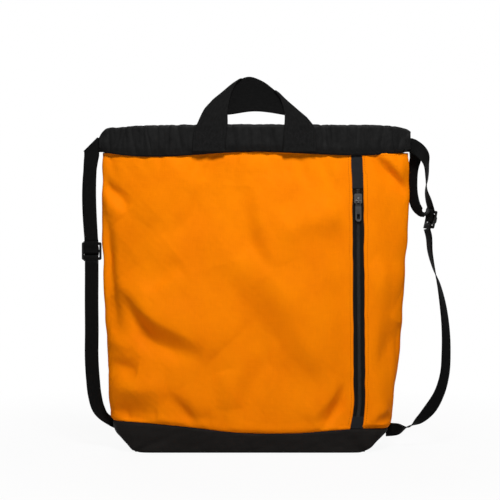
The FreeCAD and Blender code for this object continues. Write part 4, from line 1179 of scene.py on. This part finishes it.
def make_right_strap():
    matrix = slider_matrix(RIGHT_SLIDER)
    sideways = matrix.to_3x3() @ Vector((1, 0, 0))
    for side, word in ((-1, "front"), (1, "back")):
        rows = right_rows(side)
        y = LOOP_Y if side > 0 else RUN_Y
        end = matrix @ Vector((-0.5, y, WEAVE_REACH))
        across = sideways if sideways.dot(Vector(rows[-1][3])) > 0 else -sideways
        rows.append((*end, tuple(across)))
        places, directions = web_through(rows)
        obj = make_web("right_strap_" + word, places, directions)
        nodes = ["right_strap_exit_" + word, "right_strap_upper_" + word]
        if side < 0:
            nodes.append("right_strap_channel")
        finish_strand(obj, "right_slider", (232.0, 0, 400.0), tuple(end), *nodes)
    make_weaves("right", RIGHT_SLIDER)
    start = matrix @ Vector((-0.5, RUN_Y, -WEAVE_REACH))
    rows = [(*start, tuple(sideways)), (244.7, -0.5, 290.0, (0.30, -0.95, 0)),
            (246.5, -1.5, 268.0, (0.2, -0.98, 0)),
            (251.0, -3.0, 246.0, (0.0, -1, 0)), (258.0, -5.0, 222.0, (-0.35, -0.93, 0)),
            (262.8, -6.0, 198.0, (-0.55, -0.83, 0)), (266.8, -6.5, 165.0, (-0.68, -0.74, 0)),
            (267.8, -6.0, 130.0, (-0.75, -0.66, 0)), (266.0, -5.0, 100.0, (-0.78, -0.62, 0.1)),
            (258.5, -3.5, 73.0, (-0.8, -0.5, 0.3)), (246.5, -2.0, 52.0, (-0.7, -0.35, 0.6)),
            (231.0, -1.0, 36.0, (-0.35, -0.75, 0.6)), (216.5, 0.0, 27.0, (0.05, -1, 0.15)),
            (202.0, 0.0, 24.0, (0.0, -0.4, 0.9)), (186.0, 0.0, 23.5, (0, 0, 1))]
    if Vector(rows[0][3]).dot(Vector(rows[1][3])) < 0:
        rows[0] = (*rows[0][:3], tuple(-sideways))
    places, across = web_through(rows)
    lower = make_web("right_strap_low", places, across)
    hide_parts("right_strap_lower", "right_strap_anchor")
    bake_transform(lower)


# ---------------------------------------------------------------- carry handle
HANDLE_THICKNESS = 1.8
HANDLE_MIDDLE = 6.35         # halfway between the legs
HANDLE_FEET = ((-76.0, -34.5), (44.5, 88.7))
BOX_STITCH_EDGE = 4.0        # from the sides of a foot to its box of stitches
BOX_STITCH_BOTTOM = PANEL_TOP + 5.0
BOX_STITCH_TOP = PANEL_TOP + 29.0
HANDLE_Y = float(-(sum(casing_middle(np.array(HANDLE_MIDDLE))) + HANDLE_THICKNESS / 2))
CROWN_Y = HANDLE_Y + HANDLE_THICKNESS + LAYER_GAP
# Edges of the two legs from their sewn foot upwards, and of the crown from left to right, as (x, z)
LEFT_OUTER = [(-77, 402), (-76.6, 420), (-74.3, 433), (-70, 442), (-66, 451), (-60.5, 461), (-53.5, 468.5),
              (-37, 482.5), (-18.5, 497.5), (-12, 501.5)]
LEFT_INNER = [(-33.8, 402), (-32.0, 422), (-30.0, 440), (-30.0, 456), (-27.5, 473), (-23.0, 487),
              (-17.5, 496.5), (-11, 501.8)]
RIGHT_OUTER = [(88.7, 402), (88.8, 420), (87.2, 434), (82.0, 442), (64, 458.5), (46, 474.5), (39, 481.5),
               (34, 485.5)]
RIGHT_INNER = [(44.6, 402), (45.2, 422), (46.4, 440), (46.6, 453), (43.8, 466), (39.0, 478), (34.5, 483.5),
               (32.5, 486)]
CROWN_LOWER = [(-60, 460), (-45, 451.5), (-29, 452.6), (5.5, 457), (47, 452), (62, 449), (80, 442.5)]
CROWN_UPPER = [(-60, 460.5), (-40, 479), (-17, 499), (-2, 504.4), (15.8, 499), (34, 485.8), (81, 443)]


def make_leg(name, outer_edge, inner_edge, fold_start):
    """One leg: flat on the casing, then rolled back into the crown over its outer edge."""
    length = 64
    outer, inner = through(outer_edge, length), through(inner_edge, length)
    climb = np.linspace(0.0, 1.0, length)
    rolled = ease((climb - fold_start) / 0.08) * 0.95 + 0.02
    out_dir = unit(outer - inner)
    rows = []
    for share in np.linspace(0.0, 1.0, 17):
        spot = mix(inner, outer, share)
        puff = 0.35 * np.sin(share * math.pi) * ease(climb * 3.0 - 0.8)
        y = HANDLE_Y - puff - 0.2 * ripple(spot[:, 0], spot[:, 1], 34.0, 81) * ease(climb * 3.0 - 0.8)
        rows.append(np.stack([spot[:, 0], y, spot[:, 1]], axis=1))
    for angle in np.linspace(0.0, math.pi, 7)[1:]:
        spot = outer + out_dir * (rolled * math.sin(angle))[:, None] * 0.9
        y = HANDLE_Y + rolled * (1.0 - math.cos(angle))
        rows.append(np.stack([spot[:, 0], y, spot[:, 1]], axis=1))
    grid = np.array(rows).transpose(1, 0, 2)
    flat = np.stack([np.linspace(0, 44, grid.shape[1])[None, :] + 0 * grid[..., 0], grid[..., 2]], axis=-1)
    obj = grid_object(name, grid, flat, flip=name.endswith("right"))
    obj.data.materials.append(HANDLE_WEB)
    return thicken(obj, HANDLE_THICKNESS, offset=0.0, levels=1)


def make_crown():
    """The top of the loop, between the legs and behind them."""
    length = 90
    lower, upper = through(CROWN_LOWER, length), through(CROWN_UPPER, length)
    across = np.linspace(0.0, 1.0, length)
    rows = []
    for share in np.linspace(0.0, 1.0, 19):
        spot = mix(lower, upper, share)
        belly = 0.9 * np.sin(share * math.pi) * np.sin(across * math.pi)
        rows.append(np.stack([spot[:, 0], CROWN_Y + belly, spot[:, 1]], axis=1))
    grid = np.array(rows)
    flat = np.stack([grid[..., 2], grid[..., 0]], axis=-1)
    obj = grid_object("crown", grid, flat)
    # Its webbing's darker colour is painted shade, for the crown lying behind the legs.
    obj.data.materials.append(CROWN_WEB_PAINTED_SHADE)
    return thicken(obj, HANDLE_THICKNESS, offset=0.0, levels=1)


def box_stitches(x0, x1):
    """Rows of a box with a cross in it, which sews one foot of the handle down."""
    left, right = x0 + BOX_STITCH_EDGE, x1 - BOX_STITCH_EDGE
    bottom, top = BOX_STITCH_BOTTOM, BOX_STITCH_TOP
    corners = [(left, bottom), (right, bottom), (right, top), (left, top), (left, bottom), (right, top),
               (left, top), (right, bottom)]
    rows = []
    for (ax, az), (bx, bz) in zip(corners, corners[1:]):
        steps = np.linspace(0.0, 1.0, 12)
        line = [(mix(ax, bx, s), HANDLE_Y - HANDLE_THICKNESS / 2, mix(az, bz, s)) for s in steps]
        rows.append((line, [(0, -1, 0)] * len(line)))
    return rows


def make_handle():
    left = make_leg("leg_left", LEFT_OUTER, LEFT_INNER, 0.56)
    right = make_leg("leg_right", RIGHT_OUTER, RIGHT_INNER, 0.42)
    handle = joined("handle_webbing", [left, right, make_crown()])
    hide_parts("handle_loop", "handle_flex", "handle_end_left", "handle_end_right")
    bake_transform(handle)
    rows = [row for foot in HANDLE_FEET for row in box_stitches(*foot)]
    make_stitches("handle_stitches", rows, BLACK_THREAD, "webbing")


# ---------------------------------------------------------------- zip
TAPE_THICKNESS = 0.8
COIL_PITCH = 1.45
COIL_SIDES = 6


def band_point(x, z, depth):
    """Point that far behind the front face of the flat band that carries the zip."""
    return (x, float(zip_y(z)) + depth, z)


def make_zip_tapes():
    heights = np.linspace(BASE_TOP + 2.0, PANEL_TOP - 2.0, 120)
    for side, word in ((-1, "left"), (1, "right")):
        grid = np.zeros((len(heights), 12, 3))
        for row, z in enumerate(heights):
            for column, share in enumerate(np.linspace(0.0, 1.0, 12)):
                cord = 0.35 * math.exp(-((share * TAPE_WIDTH - 3.4) / 0.8) ** 2)
                x = float(zip_centre(np.array(z))) + side * (share * TAPE_WIDTH + 0.05)
                grid[row, column] = band_point(x, z, FABRIC + 0.05 - cord)
        flat = np.stack([np.abs(grid[..., 0] - ZIP_X), grid[..., 2]], axis=-1)
        obj = grid_object("zip_tape_cloth_" + word, grid, flat, flip=side < 0)
        thicken(obj, TAPE_THICKNESS)
        dress(obj, "zip_tape", TAPE_WEB)
        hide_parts("zip_tape_" + word)
        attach(obj, "bag")


def make_zip_coils():
    """Nylon elements of both sides, hooked between each other along the middle."""
    slope = (ZIP_DEPTH[0] - ZIP_DEPTH[1]) / (PANEL_TOP - BASE_TOP)
    up = unit(np.array([0.0, slope, 1.0]))
    out = unit(np.array([0.0, -1.0, slope]))
    profile = [(0.0, 0.62), (0.7, 0.8), (1.6, 0.8), (2.6, 0.62), (3.2, 0.45)]
    for side, word in ((-1, "left"), (1, "right")):
        verts, faces = [], []
        count = int((COIL_TOP - COIL_BOTTOM) / COIL_PITCH)
        for number in range(count):
            z = COIL_BOTTOM + (number + (0.25 if side < 0 else 0.75)) * COIL_PITCH
            centre = np.array(band_point(float(zip_centre(np.array(z))), z, FABRIC - 0.75))
            first = len(verts)
            for reach, thick in profile:
                spot = centre + np.array([side * (reach - 0.55), 0, 0])
                for angle in np.linspace(0, math.tau, COIL_SIDES + 1)[:-1]:
                    verts.append(spot + up * 0.46 * math.cos(angle) + out * thick * math.sin(angle))
            for ring in range(len(profile) - 1):
                for corner in range(COIL_SIDES):
                    a = first + ring * COIL_SIDES + corner
                    b = first + ring * COIL_SIDES + (corner + 1) % COIL_SIDES
                    quad = (a, b, b + COIL_SIDES, a + COIL_SIDES)
                    faces.append(quad if side > 0 else quad[::-1])
            cap = tuple(first + corner for corner in range(COIL_SIDES))
            end = tuple(corner + (len(profile) - 1) * COIL_SIDES for corner in cap)
            faces.append(cap[::-1] if side > 0 else cap)
            faces.append(end if side > 0 else end[::-1])
        obj = new_object("zip_coil_teeth_" + word, verts, faces)
        dress(obj, "zip_coil", COIL_NYLON)
        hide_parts("zip_coil_" + word)
        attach(obj, "bag")


def make_zip_covers():
    """Patches of fabric over both ends of the zip."""
    for name, z0, z1 in (("zip_top_cover", COIL_TOP - 1.0, casing_seam(ZIP_X)),
                         ("zip_bottom_cover", float(seam_height(np.array(ZIP_X), -1)), COIL_BOTTOM + 1.0)):
        rows, columns = 36, 16
        grid = np.zeros((rows, columns, 3))
        for row in range(rows):
            for column in range(columns):
                share = column / (columns - 1)
                z = mix(z0, z1, row / (rows - 1))
                x = float(zip_centre(np.array(z))) + mix(-1.0, 1.0, share) * (ZIP_OPENING / 2 + 1.5)
                fold = 0.45 * math.sin(share * math.pi) ** 0.5 + 0.12 * float(ripple(x, z, 14.0, 91))
                grid[row, column] = band_point(x, z, 0.75 - fold)
        obj = grid_object(name + "_cloth", grid, flat_of(grid))
        thicken(obj, 0.7)
        dress(obj, "black_polyester", ZIP_PATCH)
        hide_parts(name)
        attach(obj, "bag")


def make_pocket():
    """Slack pocket bag behind the zip: two layers joined round their edges."""
    x0, x1 = low("pocket_bag", X), high("pocket_bag", X)
    z0, z1 = low("pocket_bag", Z), high("pocket_bag", Z)
    depth = FABRIC + TAPE_THICKNESS
    rows, columns = 40, 24
    grid = np.zeros((rows, 2 * columns, 3))
    for row in range(rows):
        z = mix(z0, z1, row / (rows - 1))
        end = math.sin(math.pi * row / (rows - 1)) ** 0.35
        for column in range(columns):
            share = column / (columns - 1)
            x = mix(x0, x1, share)
            full = end * math.sin(math.pi * share) ** 0.35 + 1e-3
            wave = 0.6 * float(ripple(x, z, 30.0, 95))
            grid[row, column] = band_point(x, z, depth + 8.6 - 3.0 * full)
            grid[row, 2 * columns - 1 - column] = band_point(x, z, depth + 8.6 + (3.0 + wave) * full)
    closed = np.concatenate([grid, grid[:, :1]], axis=1)
    obj = grid_object("pocket_cloth", grid, flat_of(closed), closed=True, caps=True)
    dress(obj, "lining", LINING)
    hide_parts("pocket_bag")
    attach(obj, "bag")


def dress_cad_nodes():
    """The buckles and the zip's slider keep their solids and get a material."""
    for material, slot, nodes in ((PLASTIC, "buckle_plastic", ("left_buckle", "right_buckle")),
                                  (METAL, "zip_metal", ("zip_slider_body", "zip_slider_bail", "zip_pull"))):
        for node in nodes:
            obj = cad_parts[node]
            obj.data.materials.clear()
            obj.data.materials.append(material)


# ---------------------------------------------------------------- floor, light and camera
def seen_rays(tree):
    """1 where the camera, a reflection or a clear material looks, 0 where light falls."""
    path = add(tree, "LightPath").outputs
    indirect = maths(tree, "MAXIMUM", path["Is Glossy Ray"], path["Is Transmission Ray"])
    return maths(tree, "MAXIMUM", path["Is Camera Ray"], indirect)


def make_floor():
    """Pale floor that keeps the shadow of the bag and turns plain white further away."""
    bpy.ops.mesh.primitive_plane_add(size=12.0, location=(0, 3.5, -0.0004))
    floor = bpy.context.object
    floor.name = "floor"
    material = bpy.data.materials.new("floor_white")
    material.use_nodes = True
    tree = material.node_tree
    tree.nodes.clear()
    matt = add(tree, "BsdfDiffuse", Color=(0.60, 0.60, 0.60, 1.0))
    bright = add(tree, "Emission", Color=(1.0, 1.0, 1.0, 1.0), Strength=1.0)
    place = add(tree, "NewGeometry").outputs["Position"]
    away = add(tree, "VectorMath", {"operation": "LENGTH"}, Vector=place)
    paper = add(tree, "MapRange", Value=away.outputs["Value"])
    set_inputs(paper, {"From Min": 0.30, "From Max": 0.75, "To Min": 0.93, "To Max": 1.0})
    share = times(tree, seen_rays(tree), paper.outputs["Result"])
    blend = add(tree, "MixShader", i0=share, i1=matt.outputs[0], i2=bright.outputs[0])
    output = tree.nodes.new("ShaderNodeOutputMaterial")
    tree.links.new(blend.outputs[0], output.inputs["Surface"])
    floor.data.materials.append(material)


AMBIENT = 0.11               # strength of the even light
LIGHT_AIM = Vector((0, 0, 0.25))


def make_world():
    """Even light from all round, white where the camera or a reflection sees it."""
    world = bpy.data.worlds.new("studio")
    bpy.context.scene.world = world
    world.use_nodes = True
    tree = world.node_tree
    tree.nodes.clear()
    dim = add(tree, "Background", Color=(1.0, 1.0, 1.0, 1.0), Strength=AMBIENT)
    white = add(tree, "Background", Color=(1.0, 1.0, 1.0, 1.0), Strength=1.0)
    blend = add(tree, "MixShader", i0=seen_rays(tree), i1=dim.outputs[0], i2=white.outputs[0])
    output = tree.nodes.new("ShaderNodeOutputWorld")
    tree.links.new(blend.outputs[0], output.inputs["Surface"])


def add_light(name, place, size, power):
    """Round lamp at a place, in metres, turned towards the bag."""
    light = bpy.data.lights.new(name, "AREA")
    light.shape = "DISK"
    light.size = size
    light.energy = power
    obj = bpy.data.objects.new(name, light)
    obj.location = place
    obj.rotation_euler = (LIGHT_AIM - Vector(place)).to_track_quat("-Z", "Y").to_euler()
    bpy.context.scene.collection.objects.link(obj)


def make_lights():
    add_light("key", (0.14, -0.86, 1.38), 0.42, 20.5)
    add_light("fill", (-0.8, -2.4, 0.6), 1.6, 2.4)
    add_light("behind", (-0.5, 1.7, 1.2), 1.2, 21.0)


CAMERA_PLACE = (0.0, -1.62, 0.2695)
CAMERA_LENS = 85.1


def make_camera():
    camera = bpy.data.cameras.new("camera")
    camera.lens = CAMERA_LENS
    camera.sensor_width = 36.0
    obj = bpy.data.objects.new("camera", camera)
    obj.location = CAMERA_PLACE
    obj.rotation_euler = (math.pi / 2, 0.0, 0.0)
    bpy.context.scene.collection.objects.link(obj)
    bpy.context.scene.camera = obj
    bpy.context.scene.view_settings.view_transform = "Standard"


# ---------------------------------------------------------------- the whole bag
def build():
    make_camera()
    make_world()
    make_lights()
    make_floor()
    main_grid, side_grid, back_grid = make_panels()
    make_base()
    make_casing("front_casing_cloth", -1)
    make_casing("back_casing_cloth", 1)
    make_zip_tapes()
    make_zip_coils()
    make_zip_covers()
    make_pocket()
    make_left_strap()
    make_right_strap()
    make_handle()
    rows = [row_at(grid, side, STITCH_UNDER_CASING)
            for grid, side in ((main_grid, -1), (side_grid, -1), (back_grid, 1))]
    rows += [column_at(grid, -1, STITCH_BESIDE_ZIP, from_left)
             for grid, from_left in ((main_grid, False), (side_grid, True))]
    make_stitches("panel_stitches", rows, ORANGE_THREAD, "orange_polyester")
    dress_cad_nodes()


build()
